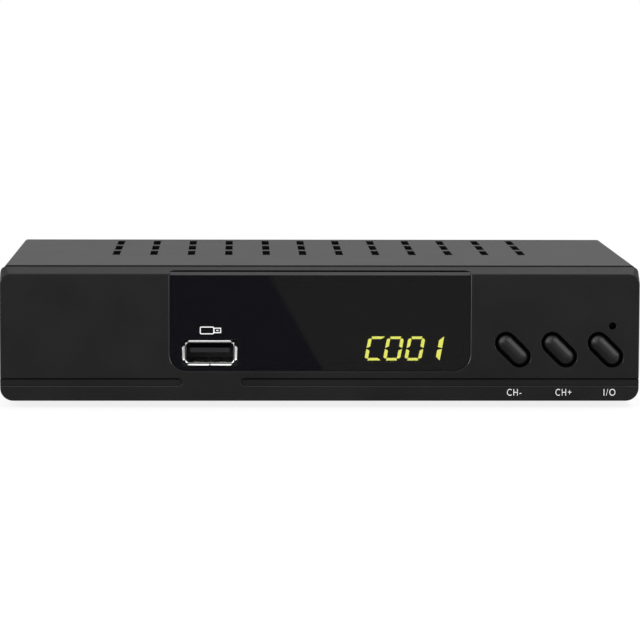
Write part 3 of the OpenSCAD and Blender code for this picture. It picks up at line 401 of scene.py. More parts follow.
# %% Smoked window and its glowing digits
SMOKE = (0.011, 0.0107, 0.0109)
CLEAR_SHARE = 0.47
ACRYLIC_IOR = 1.165
digit_light = (0.785, 0.815, 0.135)
digit_level = 0.95
digit_strength = digit_level / (SMOKE[0] * CLEAR_SHARE ** 2)
smoked_acrylic = finish("smoked_acrylic", SMOKE, rough=0.03, size=4, depth=0.0, tint=0.1)
shader_of(smoked_acrylic).inputs["Transmission Weight"].default_value = CLEAR_SHARE
shader_of(smoked_acrylic).inputs["IOR"].default_value = ACRYLIC_IOR
# The slant's paler colour is a painted highlight; its polish is its low roughness
polished_edge_painted_highlight = finish("polished_edge_painted_highlight", grey(0.032), rough=0.15, size=0.5, depth=0.0005, tint=0.1, gloss=0.36)


def glowing(name, colour, strength):
    """A resin that glows evenly, with a faint grain in its colour."""
    material = finish(name, shade_of(colour, 0.4), rough=0.35, size=0.3, depth=0.0005)
    tree = material.node_tree
    light = tinted(tree, grain(tree, 1.5), [shade_of(colour, 0.93), colour])
    tree.links.new(light, shader_of(material).inputs["Emission Color"])
    shader_of(material).inputs["Emission Strength"].default_value = strength
    return material


lit_resin = glowing("lit_resin", digit_light, digit_strength)
print("digits glow", round(digit_strength, 1), "times their colour behind the smoke")

# %% Circuit boards
TRACKS_PER_METRE = 160.0
TRACK_RISE = 0.03


def laminate(name, mask):
    """Mask over copper tracks: cells of a coarse pattern stand a little proud and are lighter."""
    material = finish(name, mask, rough=0.35, size=0.3, depth=0.001)
    tree = material.node_tree
    shader = shader_of(material)
    place = add_node(tree, "ShaderNodeTexCoord").outputs["Object"]
    cells = {"Vector": place, "Scale": TRACKS_PER_METRE, "Randomness": 0.7}
    tracks = add_node(tree, "ShaderNodeTexVoronoi", cells, distance="MANHATTAN").outputs[0]
    copper = tinted(tree, tracks, [shade_of(mask, 0.8), shade_of(mask, 1.5), shade_of(mask, 0.7)])
    tree.links.new(copper, shader.inputs["Base Color"])
    bump = add_node(tree, "ShaderNodeBump", {"Height": tracks, "Strength": 0.4, "Distance": TRACK_RISE * MM})
    tree.links.new(bump.outputs[0], shader.inputs["Normal"])
    return material


board_laminate = laminate("board_laminate", (0.005, 0.026, 0.01))
black_laminate = laminate("black_laminate", (0.006, 0.006, 0.0065))
print("finishes in all:", len(bpy.data.materials))

# %% [markdown]
# ## Taking a piece into the model
# A finished piece gets smooth shading with sharp edges only where the real piece has them, its finish and the
# body that it moves with, and the imported nodes that it stands for are hidden.

# %% Taking a piece in
SHARP_ANGLE = 38


def take_in(obj, material, nodes, body="receiver", angle=SHARP_ANGLE):
    """Shade a piece, give it its finish and put it in the place of its nodes."""
    obj.data.shade_smooth()
    obj.data.set_sharp_from_angle(angle=radians(angle))
    if not obj.data.materials:
        obj.data.materials.append(material)
    even = obj.modifiers.new("even shading", "WEIGHTED_NORMAL")
    even.keep_sharp = True
    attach(obj, body)
    if nodes:
        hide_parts(*nodes)
    print(obj.name, len(obj.data.polygons), "faces")


# %% [markdown]
# ## The front panel
# One moulding makes the whole front: a flat face, a slope along the top, and a hollow back whose rim tucks
# under the cover. It could be a box with bevels, but the slope's upper corners are rounder on the face than
# at the back, which a bevel can't do. So it is lofted: from the face over its rounded edge and up the
# slope, down behind to the rim, and back into the hollow. Everything else is cut into that.

# %% Front panel: its slope
face_edge = 0.35
slope_depth = 4.0
slope_height = 1.7
panel_top = panel_high.z
face_top = panel_top - slope_height

# The face turns into the slope through this angle, on an arc that reaches as deep as the other edges
slope_turn = acos(slope_height / (slope_height ** 2 + slope_depth ** 2) ** 0.5)
slope_arc = face_edge / (1 - cos(slope_turn))
slope_start = face_top - slope_arc * tan(slope_turn / 2)


def slope_z(y):
    """Height of the top edge at a depth."""
    if y < face_edge:
        return slope_start + slope_arc * sin(acos(1 - y / slope_arc))
    return face_top + slope_height * y / slope_depth


print("slope from", round(face_top, 2), "to", round(panel_top, 2), "mm up")

# %% Front panel: the moulding
half_width = panel_high.x
panel_foot = panel_low.z
low_radius = 3.4
face_radius = 2.7
back_radius = 1.6
back_edge = 0.2
wall = 2.4
rim = {"side": cover_high.x - 1.1, "low": 2.4, "high": 36.15, "end": 9.5}
rim_wall = 1.4
rim_chamfer = 0.1
hollow_radius = 1.5
slope_steps = 4


def panel_ring(y, inset, top, top_radius):
    side = half_width - inset
    points = plate(-side, side, panel_foot + inset, top, low_radius - inset, top_radius)
    return ring(points, y)


def rim_ring(y, inset, radius):
    side = rim["side"] - inset
    return ring(plate(-side, side, rim["low"] + inset, rim["high"] - inset, radius, hollow_radius), y)


panel_rings = [panel_ring(y, inset, slope_z(y), face_radius - inset) for y, inset in edge_arc(face_edge)]
slope_end = slope_depth - back_edge
for step in range(1, slope_steps + 1):
    share = step / slope_steps
    y = face_edge + (slope_end - face_edge) * share
    panel_rings.append(panel_ring(y, 0, slope_z(y), face_radius - (face_radius - back_radius) * share))
for depth, inset in reversed(edge_arc(back_edge)[:-1]):
    y = slope_depth - depth
    panel_rings.append(panel_ring(y, inset, panel_top - inset, back_radius - inset))
panel_rings.append(rim_ring(slope_depth, 0, low_radius))
panel_rings.append(rim_ring(rim["end"] - rim_chamfer, 0, low_radius))
panel_rings.append(rim_ring(rim["end"], rim_chamfer, low_radius))
panel_rings.append(rim_ring(rim["end"], rim_wall, hollow_radius))
panel_rings.append(rim_ring(wall, rim_wall, hollow_radius))
front_panel = loft("front_moulding", panel_rings)
print("front panel rings:", len(panel_rings))

# %% [markdown]
# Behind the face, three bosses take the screws of the front board and two lugs take the screws from below.
# They are united with the moulding before anything is cut.

# %% Front panel: bosses and lugs
SMALL_SIDES = 32
boss = {"radius": 2.6, "end": 8.0, "chamfer": 0.2, "pilot": 1.05, "pilot_from": 3.5, "z": 28.0, "root": 0.5}
boss_places = [window_low.x - 3.7, window_high.x + 4.7, half_width - 8]
lug = {"x": half_width - 29, "half": 5.0, "from": 6.5, "to": panel_high.y, "low": 3.2, "high": 6.2}
lug_chamfer = 0.3
lug_hole = {"y": 14.5, "radius": 1.5}


def along_depth(x, z):
    """Places a round piece whose axis runs from front to back."""
    return lambda r, a, d: (x + r * cos(a), d, z + r * sin(a))


def upright(x, y):
    """Places a round piece that stands upright."""
    return lambda r, a, d: (x + r * cos(a), y + r * sin(a), d)


def lug_ring(x, y, inset):
    half = lug["half"] - inset
    return ring(plate(x - half, x + half, lug["low"], lug["high"] - inset, SHARP, lug_chamfer), y)


added = []
pilots = []
for x in boss_places:
    radius, end, chamfer = boss["radius"], boss["end"], boss["chamfer"]
    post = [(radius, wall - boss["root"]), (radius, end - chamfer), (radius - chamfer, end)]
    added.append(turned("boss", post, along_depth(x, boss["z"]), sides=SMALL_SIDES))
    bore = [(boss["pilot"], boss["pilot_from"]), (boss["pilot"], end + PAST)]
    pilots.append(turned("pilot", bore, along_depth(x, boss["z"]), sides=SMALL_SIDES))
for x in (-lug["x"], lug["x"]):
    stations = [(lug["from"], 0), (lug["to"] - lug_chamfer, 0), (lug["to"], lug_chamfer)]
    added.append(loft("lug", [lug_ring(x, y, inset) for y, inset in stations]))
    bore = [(lug_hole["radius"], 0), (lug_hole["radius"], lug["high"] + PAST)]
    pilots.append(turned("lug hole", bore, upright(x, lug_hole["y"]), sides=SMALL_SIDES))
combine(front_panel, added, "UNION")
combine(front_panel, pilots)
print("bosses and lugs united:", len(boss_places) + 2)

# %% [markdown]
# The window lies in a shallow pocket that is open at the top, with a narrow rounded lip down both sides,
# and rests on a ledge round a large opening. A thin slot behind its top edge, which widens inwards, makes a
# black line in the slope. Two grooves run along the bottom, with plain panel between them under the data
# socket, and a narrow slit along the upper edge of each keeps it black. The buttons and the indicator have
# holes with small rounded mouths. Each cutter is a loft with its own outline.

# %% Front panel: outlines of the holes
window_gap = 0.15
window_corner = 4.2
pocket_floor = window_high.y
above = 60.0
data_shell_low, data_shell_high = drawn_box("data_socket_shell")
data_x = (data_shell_low.x + data_shell_high.x) / 2
data_z = (data_shell_low.z + data_shell_high.z) / 2
data_half = Vector((data_shell_high.x - data_x, data_shell_high.z - data_z))
data_corner = 0.65
key_gap = 0.8
key_length = 5.2
key_radius = 2.1
key_lean = 45
KEYS = {"down": "button_channel_down", "up": "button_channel_up", "power": "button_power"}


def middle(node):
    low, high = drawn_box(node)
    return (low + high) / 2


key_z = middle("switch_plunger_down").z


def pocket(extra):
    grow = window_gap + extra
    side = window_high.x + grow
    return plate(-side, side, window_low.z - grow, above, window_corner + grow, SHARP)


def data_opening(extra, gap):
    across = data_half.x + gap + extra
    up = data_half.y + gap + extra
    corner = data_corner + gap + extra
    return plate(data_x - across, data_x + across, data_z - up, data_z + up, corner, corner)


def key_hole(node):
    x = middle(node).x
    return lambda extra: pill(x, key_z, key_length, key_radius + key_gap + extra, key_lean)


def round_hole(x, z, radius):
    return lambda extra: pill(x, z, 0, radius + extra)


print("middle of the buttons", round(key_z, 2), "mm up")

# %% Front panel: holes
MOUTHS = {"pocket": 0.5, "socket": 0.1, "indicator": 0.12, "key": 0.25}
ledge = 2.0
ledge_corner = 0.3
socket_gap = 0.4
through = wall + PAST
indicator = {"x": half_width - 7.1, "z": 21.6, "radius": 1.0}
opening_side = window_high.x - ledge
opening_top = rim["high"] - rim_wall - ledge
opening = plate(-opening_side, opening_side, window_low.z + ledge, opening_top, window_corner, ledge_corner)
cutters = [
    hole("pocket", pocket, pocket_floor, MOUTHS["pocket"]),
    loft("opening", [ring(opening, pocket_floor / 2), ring(opening, through)]),
    hole("socket opening", lambda extra: data_opening(extra, socket_gap), through, MOUTHS["socket"]),
    hole("indicator hole", round_hole(**indicator), through, MOUTHS["indicator"]),
]
cutters += [hole("key hole", key_hole(node), through, MOUTHS["key"]) for node in KEYS.values()]
print("holes:", len(cutters))

# %% Front panel: grooves and slot
groove = {"z": 6.775, "radius": 1.075, "depth": 0.5, "mouth": 0.14, "gap": 15.2, "shift": 0.5, "past_end": 6}
slit = {"radius": 0.2, "depth": 1.3, "below": 0.03}
slit_z = groove["z"] + groove["radius"] - slit["below"] - slit["radius"]
top_slot = {"depth": 0.6, "floor": window_high.z - 0.75, "fade": 1.2, "under": 1.2}


def groove_line(side, z, radius):
    """A pill along the bottom of one side, from beside the data socket to past the panel's end."""
    inner = data_x + groove["shift"] + side * (groove["gap"] / 2 + groove["radius"])
    outer = side * (half_width + groove["past_end"])
    return pill((inner + outer) / 2, z, abs(outer - inner), radius)


def groove_shape(side):
    """The groove's mouth is rounded at its lower edge only."""
    return lambda extra: groove_line(side, groove["z"] - extra / 2, groove["radius"] + extra / 2)


def top_slot_ring(z, under):
    """Plan of the slot behind the window's top edge. Under is how far it reaches back below the slope."""
    side = window_high.x + window_gap
    near = pocket_floor - SHARP
    far = pocket_floor + top_slot["depth"] + under
    end = side - top_slot["fade"]
    return [(-side, near, z), (side, near, z), (end, far, z), (-end, far, z)]


for side in (-1, 1):
    cutters.append(hole("groove", groove_shape(side), groove["depth"], groove["mouth"]))
for side in (-1, 1):
    line = groove_line(side, slit_z, slit["radius"])
    cutters.append(loft("groove slit", [ring(line, groove["depth"] / 2), ring(line, slit["depth"])]))
slot_edge = slope_z(pocket_floor + top_slot["depth"])
slot_levels = [(top_slot["floor"], top_slot["under"]), (slot_edge, 0), (above, 0)]
cutters.append(loft("top slot", [top_slot_ring(z, under) for z, under in slot_levels]))
combine(front_panel, cutters)
print("front panel with its cuts:", len(front_panel.data.polygons), "faces")

# %% [markdown]
# The tool that shaped the moulding was polished along its rounded edges. So the pocket's sides and the
# lower edges of the grooves take a glossier finish, which gives them their thin lines of light. Their faces
# are found by where they point and where they lie.

# %% Front panel: glossier edges
edge_zone = 1.0
# Parts of a face's direction: clearly to a side or up, not much up, and a little to the front
TILTED, LEVEL, FORWARD = 0.2, 0.3, 0.05
front_panel.data.materials.append(panel_plastic)
front_panel.data.materials.append(panel_edge)
for face in front_panel.data.polygons:
    across, deep, up = face.normal
    at_side = abs(across) > TILTED and up < LEVEL
    on_groove = up > TILTED and face.center.z < (groove["z"] + groove["radius"]) * MM
    in_front = face.center.y < front_y + edge_zone * MM and deep < -FORWARD
    face.material_index = 1 if in_front and (at_side or on_groove) else 0
take_in(front_panel, panel_plastic, ["front_panel"])

# %% [markdown]
# ## The smoked window
# The window is a plate of acrylic with round lower corners and an opening for the data socket. Its top
# edge is cut at a slant and polished. A box with a bevel would have the same edge all round, so the plate
# is lofted from front to back: with a fine rounding at its sides and below, and the slant at the top. It
# is a little larger than the imported plate, to sit snugly in its pocket. The slanted strip takes the paler
# colour of a painted highlight, found by the direction of its faces.

# %% Smoked window
window_chamfer = 0.78
window_edge = 0.05
window_snug = 0.1
window_hole = {"gap": 0.25, "mouth": 0.02}
# The least parts of the slanted strip's direction, up and to the front
SLANT_UP, SLANT_FORWARD = 0.5, 0.3


def window_ring(y, inset):
    slant = max(0, window_chamfer - (y - window_low.y))
    grow = window_snug - inset
    side = window_high.x + grow
    top = window_high.z - slant
    return ring(plate(-side, side, window_low.z - grow, top, window_corner + grow, SHARP), y)


def window_socket(extra):
    return data_opening(extra, window_hole["gap"])


window_rings = [window_ring(window_low.y + depth, inset) for depth, inset in edge_arc(window_edge)]
window_rings.append(window_ring(window_low.y + window_chamfer, 0))
window_rings.append(window_ring(window_high.y, 0))
window = loft("smoked_window", window_rings)
combine(window, [hole("socket hole", window_socket, window_high.y + PAST, window_hole["mouth"])])
window.data.materials.append(smoked_acrylic)
window.data.materials.append(polished_edge_painted_highlight)
for face in window.data.polygons:
    slanted = face.normal.z > SLANT_UP and face.normal.y < -SLANT_FORWARD
    face.material_index = 1 if slanted else 0
take_in(window, smoked_acrylic, ["display_window"])

# %% [markdown]
# ## The digits behind the window
# The display shows a letter and three digits, in two pairs. Each place has seven slugs of resin, and some
# of them glow. A font has no gaps between its strokes, so the slugs are drawn: one outline for the flat
# strokes, one for the upright ones and one for the middle, mirrored to the other sides and then leaned to
# the right. Strokes with no glowing neighbour have a pointed end: the flat ones of the letter, and the
# bolder upright ones of the last place, which shows a one.

# %% Digits: the outlines of their slugs
digit_wide = 4.45
digit_high = 6.3
digit_step = 4.9
pair_gap = 0.72
digit_lean = tan(radians(10.5))
digits_left = window_high.x - 27.6
digits_foot = window_low.z + 2.34
flat_stroke = 0.62
side_stroke = 0.85
bold_stroke = 1.13
slug_gap = 0.15
slug_rounding = 0.05
corner_cut = 0.62
side_cut = 0.32
side_drop = 0.54
point_height = 1.0
point_reach = 0.17
slug_front, slug_back = drawn_box("lit_segments")[0].y, drawn_box("lit_segments")[1].y
waist = digit_high / 2
side_top = digit_high - side_drop
flat_slug = [
    (corner_cut + slug_gap, digit_high), (digit_wide - corner_cut - slug_gap, digit_high),
    (digit_wide - side_stroke - slug_gap, digit_high - flat_stroke),
    (side_stroke + slug_gap, digit_high - flat_stroke),
]
pointed_flat_slug = [flat_slug[0], (digit_wide - point_reach, digit_high), flat_slug[2], flat_slug[3]]
side_slug = [
    (0, waist + slug_gap), (0, side_top - side_cut), (side_cut, side_top), (side_stroke, side_top),
    (side_stroke, waist + side_stroke / 2 + slug_gap),
]
pointed_side_slug = [
    (0, waist + slug_gap), (0, digit_high), (bold_stroke, digit_high - point_height),
    (bold_stroke, waist + bold_stroke / 4 + slug_gap),
]
half_middle = side_stroke / 2 - slug_gap
middle_slug = [
    (2 * slug_gap, waist), (side_stroke, waist + half_middle),
    (digit_wide - side_stroke, waist + half_middle), (digit_wide - 2 * slug_gap, waist),
    (digit_wide - side_stroke, waist - half_middle), (side_stroke, waist - half_middle),
]
print("digits", digit_wide, "by", digit_high, "mm")


# %% Digits: slugs in their places
def digit_slugs(flat, right_side):
    """The seven slugs of one place, a to g, each as an outline and whether it is mirrored right and down."""
    return {
        "a": (flat, False, False), "b": (right_side, True, False), "c": (right_side, True, True),
        "d": (flat, False, True), "e": (side_slug, False, True), "f": (side_slug, False, False),
        "g": (middle_slug, False, False),
    }


def slug(left, points, right, below):
    corners = []
    for x, z in points:
        x = digit_wide - x if right else x
        z = digit_high - z if below else z
        corners.append((left + x + z * digit_lean, digits_foot + z, slug_rounding))
    face = outline(corners, steps=2)
    return loft("slug", [ring(face, slug_front), ring(face, slug_back)])


def gathered(name, solids):
    """Separate solids as one piece."""
    shape = bmesh.new()
    for obj in solids:
        shape.from_mesh(obj.data)
        bpy.data.objects.remove(obj)
    mesh = bpy.data.meshes.new(name)
    shape.to_mesh(mesh)
    shape.free()
    piece = bpy.data.objects.new(name, mesh)
    bpy.context.scene.collection.objects.link(piece)
    return piece


# The slugs that glow in each place, its flat slugs and those of its right side
PLACES = [
    ("adef", pointed_flat_slug, side_slug),
    ("abcdef", flat_slug, side_slug),
    ("abcdef", flat_slug, side_slug),
    ("bc", flat_slug, pointed_side_slug),
]
glowing_slugs = []
dark_slugs = []
for place, (lit, flat, right_side) in enumerate(PLACES):
    left = digits_left + place * digit_step + (pair_gap if place >= len(PLACES) / 2 else 0)
    for name, (points, right, below) in digit_slugs(flat, right_side).items():
        group = glowing_slugs if name in lit else dark_slugs
        group.append(slug(left, points, right, below))
take_in(gathered("glowing_digits", glowing_slugs), lit_resin, ["lit_segments"])
take_in(gathered("dark_digits", dark_slugs), unlit_resin, ["unlit_segments"])

# %% [markdown]
# ## The buttons
# Three pills lean to the right, each crowned from edge to edge so that it catches a soft line of light
# along its upper side. A pill with a bevel would be flat in front and show a broad patch of light, so the
# crown is lofted along an arc. The skirt behind the crown is dull, as it came from the mould. A flange
# behind the panel's wall keeps the button in, and a short stem rests on the switch. Each one moves with
# its own body.

# %% Buttons
crown = {"radius": 2.5, "edge": 0.3, "peak": drawn_box("button_power")[0].y}
crown_turn = asin((key_radius - crown["edge"]) / (crown["radius"] - crown["edge"]))
flange = {"radius": 3.3, "from": 2.55, "to": 3.35}
stem = {"radius": 1.55, "to": 3.7}
crown_steps = 9
crown_start = 0.05
edge_steps = 3
skirt_behind = 0.05


def crown_profile():
    """Pairs of depth and half width: the wide arc of the crown, then the tight one of its edge."""
    wide, tight = crown["radius"], crown["edge"]
    shares = [crown_start + (1 - crown_start) * i / crown_steps for i in range(crown_steps + 1)]
    turns = [crown_turn * share for share in shares]
    pairs = [(crown["peak"] + wide * (1 - cos(a)), wide * sin(a)) for a in turns]
    for i in range(1, edge_steps + 1):
        a = crown_turn + (pi / 2 - crown_turn) * i / edge_steps
        out = (wide - tight) * sin(crown_turn) + tight * sin(a)
        back = wide - (wide - tight) * cos(crown_turn) - tight * cos(a)
        pairs.append((crown["peak"] + back, out))
    return pairs


crown_arc = crown_profile()
skirt_from = crown_arc[-1][0] + skirt_behind


def button(name, x, z):
    def pill_ring(y, radius, length=key_length):
        return ring(pill(x, z, length, radius, key_lean), y)

    rings = [pill_ring(y, radius) for y, radius in crown_arc]
    rings.append(pill_ring(flange["from"], key_radius))
    rings.append(pill_ring(flange["from"], flange["radius"]))
    rings.append(pill_ring(flange["to"], flange["radius"]))
    rings.append(pill_ring(flange["to"], stem["radius"], 0))
    rings.append(pill_ring(stem["to"], stem["radius"], 0))
    return loft(name, rings)


for key, node in KEYS.items():
    cap = button("button_cap_" + key, middle("switch_plunger_" + key).x, key_z)
    cap.data.materials.append(button_plastic)
    cap.data.materials.append(button_skirt)
    for face in cap.data.polygons:
        face.material_index = 1 if face.center.y > front_y + skirt_from * MM else 0
    take_in(cap, button_plastic, [node], body=key + "_key")

# %% [markdown]
# ## The snap domes
# Inside each switch a dished steel disc lies on its rim and pushes the plunger back out. When the button
# goes in, the disc gives way. Here each dome is turned in its resting shape. A turned piece is closed at its
# axis by a ring too small to see.

# %% Snap domes
dome_thickness = 0.15
dome_room = 0.02
dome_steps = 10
AXIS = 0.01

for key in KEYS:
    node = "snap_dome_" + key
    low, high = drawn_box(node)
    dome_radius = (high.x - low.x) / 2
    crest = low.y + dome_room
    rise = high.y - dome_thickness - crest
    sphere = (dome_radius ** 2 + rise ** 2) / (2 * rise)
    radii = [max(AXIS, dome_radius * i / dome_steps) for i in range(dome_steps + 1)]
    outside = [(r, crest + sphere - (sphere ** 2 - r ** 2) ** 0.5) for r in radii]
    inside = [(r, y + dome_thickness) for r, y in reversed(outside)]
    centre = middle(node)
    place = along_depth(centre.x, centre.z)
    dome = turned("pressed_dome_" + key, outside + inside, place, sides=SMALL_SIDES)
    take_in(dome, dome_steel, [node])
    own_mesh(dome)

# %% [markdown]
# ## Printed marks
# Under the buttons stand three short plain marks for their use, and above the data socket a small drawing
# of a memory stick. They could be a pattern in the panel's finish, but as thin layers of white ink they
# have sharp edges from close by too. Text becomes a mesh first, is scaled to the height and the width of
# the real print, and only then takes its place.

# %% Printed words
INK = 0.012
mark_height = 1.8
mark_z = 4.1
# The words of each mark, its middle and its width
MARKS = {"mark_down": ("CH-", 51.1, 3.75), "mark_up": ("CH+", 64.1, 4.2), "mark_power": ("I/O", 76.25, 3.1)}
font_thickness = 0.01
stroke_thinner = -0.004
letter_spacing = 1.2


def printed_words(name, words, x, z, width):
    curve = bpy.data.curves.new(name, "FONT")
    curve.body = words
    curve.extrude = font_thickness
    curve.offset = stroke_thinner
    curve.space_character = letter_spacing
    obj = bpy.data.objects.new(name, curve)
    bpy.context.scene.collection.objects.link(obj)
    mesh = bpy.data.meshes.new_from_object(obj.evaluated_get(bpy.context.evaluated_depsgraph_get()))
    bpy.data.objects.remove(obj)
    points = [v.co.copy() for v in mesh.vertices]
    low = Vector([min(p[k] for p in points) for k in range(3)])
    high = Vector([max(p[k] for p in points) for k in range(3)])
    for vertex, p in zip(mesh.vertices, points):
        share = Vector([(p[k] - low[k]) / (high[k] - low[k]) for k in range(3)])
        vertex.co = at(x + (share.x - 0.5) * width, -INK * share.z, z + (share.y - 0.5) * mark_height)
    marks = bpy.data.objects.new(name, mesh)
    bpy.context.scene.collection.objects.link(marks)
    return marks


for name, (words, x, width) in MARKS.items():
    take_in(printed_words(name, words, x, mark_z, width), label_ink, [])

# %% Printed drawing
stick = {"left": data_x - 2.6, "body": 3.8, "half": 1.02, "plug": 1.8, "plug_half": 0.72, "z": 20.4}
body_corner = 0.45
plug_corner = 0.1
contact_corner = 0.05
contact_from, contact_to = 0.5, 0.65
stroke = 0.26
plug_overlap = stroke * 0.7
print_y = window_low.y


def printed_patch(name, x0, x1, half, radius):
    """A patch of ink on the window, as far up as down from the drawing's middle."""
    points = plate(x0, x1, stick["z"] - half, stick["z"] + half, radius, radius)
    return loft(name, [ring(points, print_y - INK), ring(points, print_y)])


def printed_frame(name, x0, x1, half, radius):
    """A printed rectangle, drawn as a line."""
    line = printed_patch(name, x0, x1, half, radius)
    low, high = stick["z"] - half + stroke, stick["z"] + half - stroke
    inside = plate(x0 + stroke, x1 - stroke, low, high, radius / 2, radius / 2)
    combine(line, [loft("inside", [ring(inside, print_y - PAST), ring(inside, print_y + PAST)])])
    return line


body_end = stick["left"] + stick["body"]
plug_end = body_end + stick["plug"]
stick_body = printed_frame("mark_memory_stick", stick["left"], body_end, stick["half"], body_corner)
stick_plug = printed_frame("plug", body_end - plug_overlap, plug_end, stick["plug_half"], plug_corner)
contact = printed_patch("contact", body_end + contact_from, plug_end - contact_to, stroke / 2, contact_corner)
combine(stick_body, [stick_plug, contact], "UNION")
take_in(stick_body, label_ink, [])

# %% [markdown]
# ## The data socket
# The socket's shell is one strip of thin plated steel, bent round until its ends meet at a seam below. At
# the front it spreads into four lips, which guide the plug and rest against the window. Two little
# springs are stamped out of the lower wall. The shell is a hollow loft. A bent surface with a thickness
# would give lips with square ends, so each lip is a strip of the sheet, drawn bent in side view and
# lofted along its side of the shell, with its front drawn in towards its ends.

# %% Data socket: a lip in side view
lip = {"root": 2.2, "front": data_shell_low.y, "sheet": 0.26, "bend": 0.85, "turn": radians(68), "tip": 0.7}
lip_out = Vector((0.77, 0.57))
bend_steps = 9


def lip_section(reach, out_by):
    """The bent strip in side view: its inner face, round the front edge, and back along the outer face."""
    half = lip["sheet"] / 2
    radius, turn = lip["bend"], lip["turn"]
    flat = (out_by - radius * (1 - cos(turn))) / sin(turn)
    start = lip["front"] + half * sin(turn) + flat * cos(turn) + radius * sin(turn)
    middle_line = [(lip["root"], reach, 0)]
    for i in range(bend_steps + 1):
        a = turn * i / bend_steps
        middle_line.append((start - radius * sin(a), reach + radius * (1 - cos(a)), a))
    y, out, _ = middle_line[-1]
    middle_line.append((y - flat * cos(turn), out + flat * sin(turn), turn))
    inner = [(y - half * sin(a), out - half * cos(a)) for y, out, a in middle_line]
    outer = [(y + half * sin(a), out + half * cos(a)) for y, out, a in middle_line]
    y, out, _ = middle_line[-1]
    tip = half * lip["tip"]
    return inner + [(y - tip * cos(turn), out + tip * sin(turn))] + outer[::-1]


print("points round a lip:", len(lip_section(0, lip_out.y)))

# %% Data socket: its lips
shell = {"wide": 12.5, "high": 5.12, "sheet": 0.3, "front": 1.4, "back": data_shell_high.y, "chamfer": 0.1}
lip_short = Vector((1.0, 1.4))
# Distances from a lip's end, and how far its front is drawn in there
LIP_END = [(0, 0.3), (0.12, 0.1), (0.35, 0)]


def lip_piece(name, start, end, reach, out_by, turn):
    """A lip from start to end along its side of the shell, with its front drawn in at both ends."""
    section = lip_section(reach, out_by)
    stations = [(start + along, drawn_in) for along, drawn_in in LIP_END]
    stations += [(end - along, drawn_in) for along, drawn_in in reversed(LIP_END)]
    rings = []
    for along, drawn_in in stations:
        points = []
        for y, out in section:
            out = min(out, reach + (out - reach) * (1 - drawn_in / out_by))
            x = along * cos(turn) + out * sin(turn)
            z = out * cos(turn) - along * sin(turn)
            points.append((data_x + x, y, data_z + z))
        rings.append(points)
    return loft(name, rings)


half_sheet = shell["sheet"] / 2
reach_z = shell["high"] / 2 + half_sheet
reach_x = shell["wide"] / 2 + half_sheet
long_half = (shell["wide"] - lip_short.x) / 2
short_half = (shell["high"] - lip_short.y) / 2
seam = 0.1
lips = [
    lip_piece("lip top", -long_half, long_half, reach_z, lip_out.y, 0),
    lip_piece("lip right", -short_half, short_half, reach_x, lip_out.x, radians(90)),
    lip_piece("lip left", -short_half, short_half, reach_x, lip_out.x, radians(270)),
    lip_piece("lip low a", -long_half, -seam / 2, reach_z, lip_out.y, pi),
    lip_piece("lip low b", seam / 2, long_half, reach_z, lip_out.y, pi),
]
print("lips on the socket:", len(lips))

# %% Data socket: the shell
floor_z = data_z - shell["high"] / 2
spring = {"offset": 3.4, "half": 0.85, "from": 2.6, "to": 7.0, "rise": 0.4, "root": 0.1, "end": 0.02}
spring_steps = 6
seam_depth = 0.3
LIP_ANGLE = 50


def shell_ring(y, grow):
    across = shell["wide"] / 2 + grow
    up = shell["high"] / 2 + grow
    low, high = data_z - up, data_z + up
    return ring(plate(data_x - across, data_x + across, low, high, data_corner, data_corner), y)


def spring_piece(x):
    """A strip that rises from the shell's floor in an arch."""
    rings = []
    for i in range(spring_steps + 1):
        share = i / spring_steps
        y = spring["from"] + (spring["to"] - spring["from"]) * share
        top = floor_z + spring["end"] + spring["rise"] * sin(pi * share)
        strip = plate(x - spring["half"], x + spring["half"], floor_z - spring["root"], top, SHARP, SHARP)
        rings.append(ring(strip, y))
    return loft("spring", rings)


mouth = shell["front"] + shell["chamfer"]
data_shell = loft("data_shell", [
    shell_ring(mouth, shell["sheet"]), shell_ring(shell["back"], shell["sheet"]),
    shell_ring(shell["back"], 0), shell_ring(mouth, 0), shell_ring(shell["front"], half_sheet),
], hollow=True)
combine(data_shell, lips, "UNION")
combine(data_shell, [spring_piece(data_x + side * spring["offset"]) for side in (-1, 1)], "UNION")
gap = plate(data_x - seam / 2, data_x + seam / 2, floor_z - PAST, floor_z + seam_depth, SHARP, SHARP)
combine(data_shell, [loft("seam", [ring(gap, shell["front"] - PAST / 2), ring(gap, shell["back"] + PAST)])])
take_in(data_shell, plated_steel, ["data_socket_shell"], angle=LIP_ANGLE)

# %% [markdown]
# ## The cover and its vent slots
# The cover is one bent sheet of painted steel. Its section is an upside-down U, lofted from front to back
# with softened edges. The slots stand in three rows of twelve, with a slightly wider step in the left part
# of the pattern. They follow a rule, so a node tree places them: it makes one point for each slot, works
# out its column and its row from the point's number, puts a block there and cuts all the blocks out of the
# sheet. The blocks have their own finish, which the cut leaves on the edges of the slots: duller and a
# little darker than the paint, as painted shade that keeps the slots black.

# %% Cover: the bent sheet
sheet = 0.8
bend = 1.2
sheet_edge = 0.15
sheet_tip = 0.12
screw_low, screw_high = drawn_box("cover_screws")
screw_head = 2.8
cover_screw_z = screw_low.z + screw_head
cover_screw_ys = [screw_low.y + screw_head, screw_high.y - screw_head]
screw_bore = 1.7


def cover_ring(y, inset):
    side = cover_high.x - inset
    inner = cover_high.x - sheet + inset
    top = cover_high.z - inset
    under = cover_high.z - sheet + inset
    foot = cover_low.z + inset
    outside = bend - inset
    inside = bend - sheet + inset
    return ring(outline([
        (-side, foot, sheet_tip), (-side, top, outside), (side, top, outside), (side, foot, sheet_tip),
        (inner, foot, sheet_tip), (inner, under, inside), (-inner, under, inside), (-inner, foot, sheet_tip),
    ]), y)


def sideways(y, z):
    """Places a round piece whose axis runs from left to right."""
    return lambda r, a, d: (d, y + r * cos(a), z + r * sin(a))


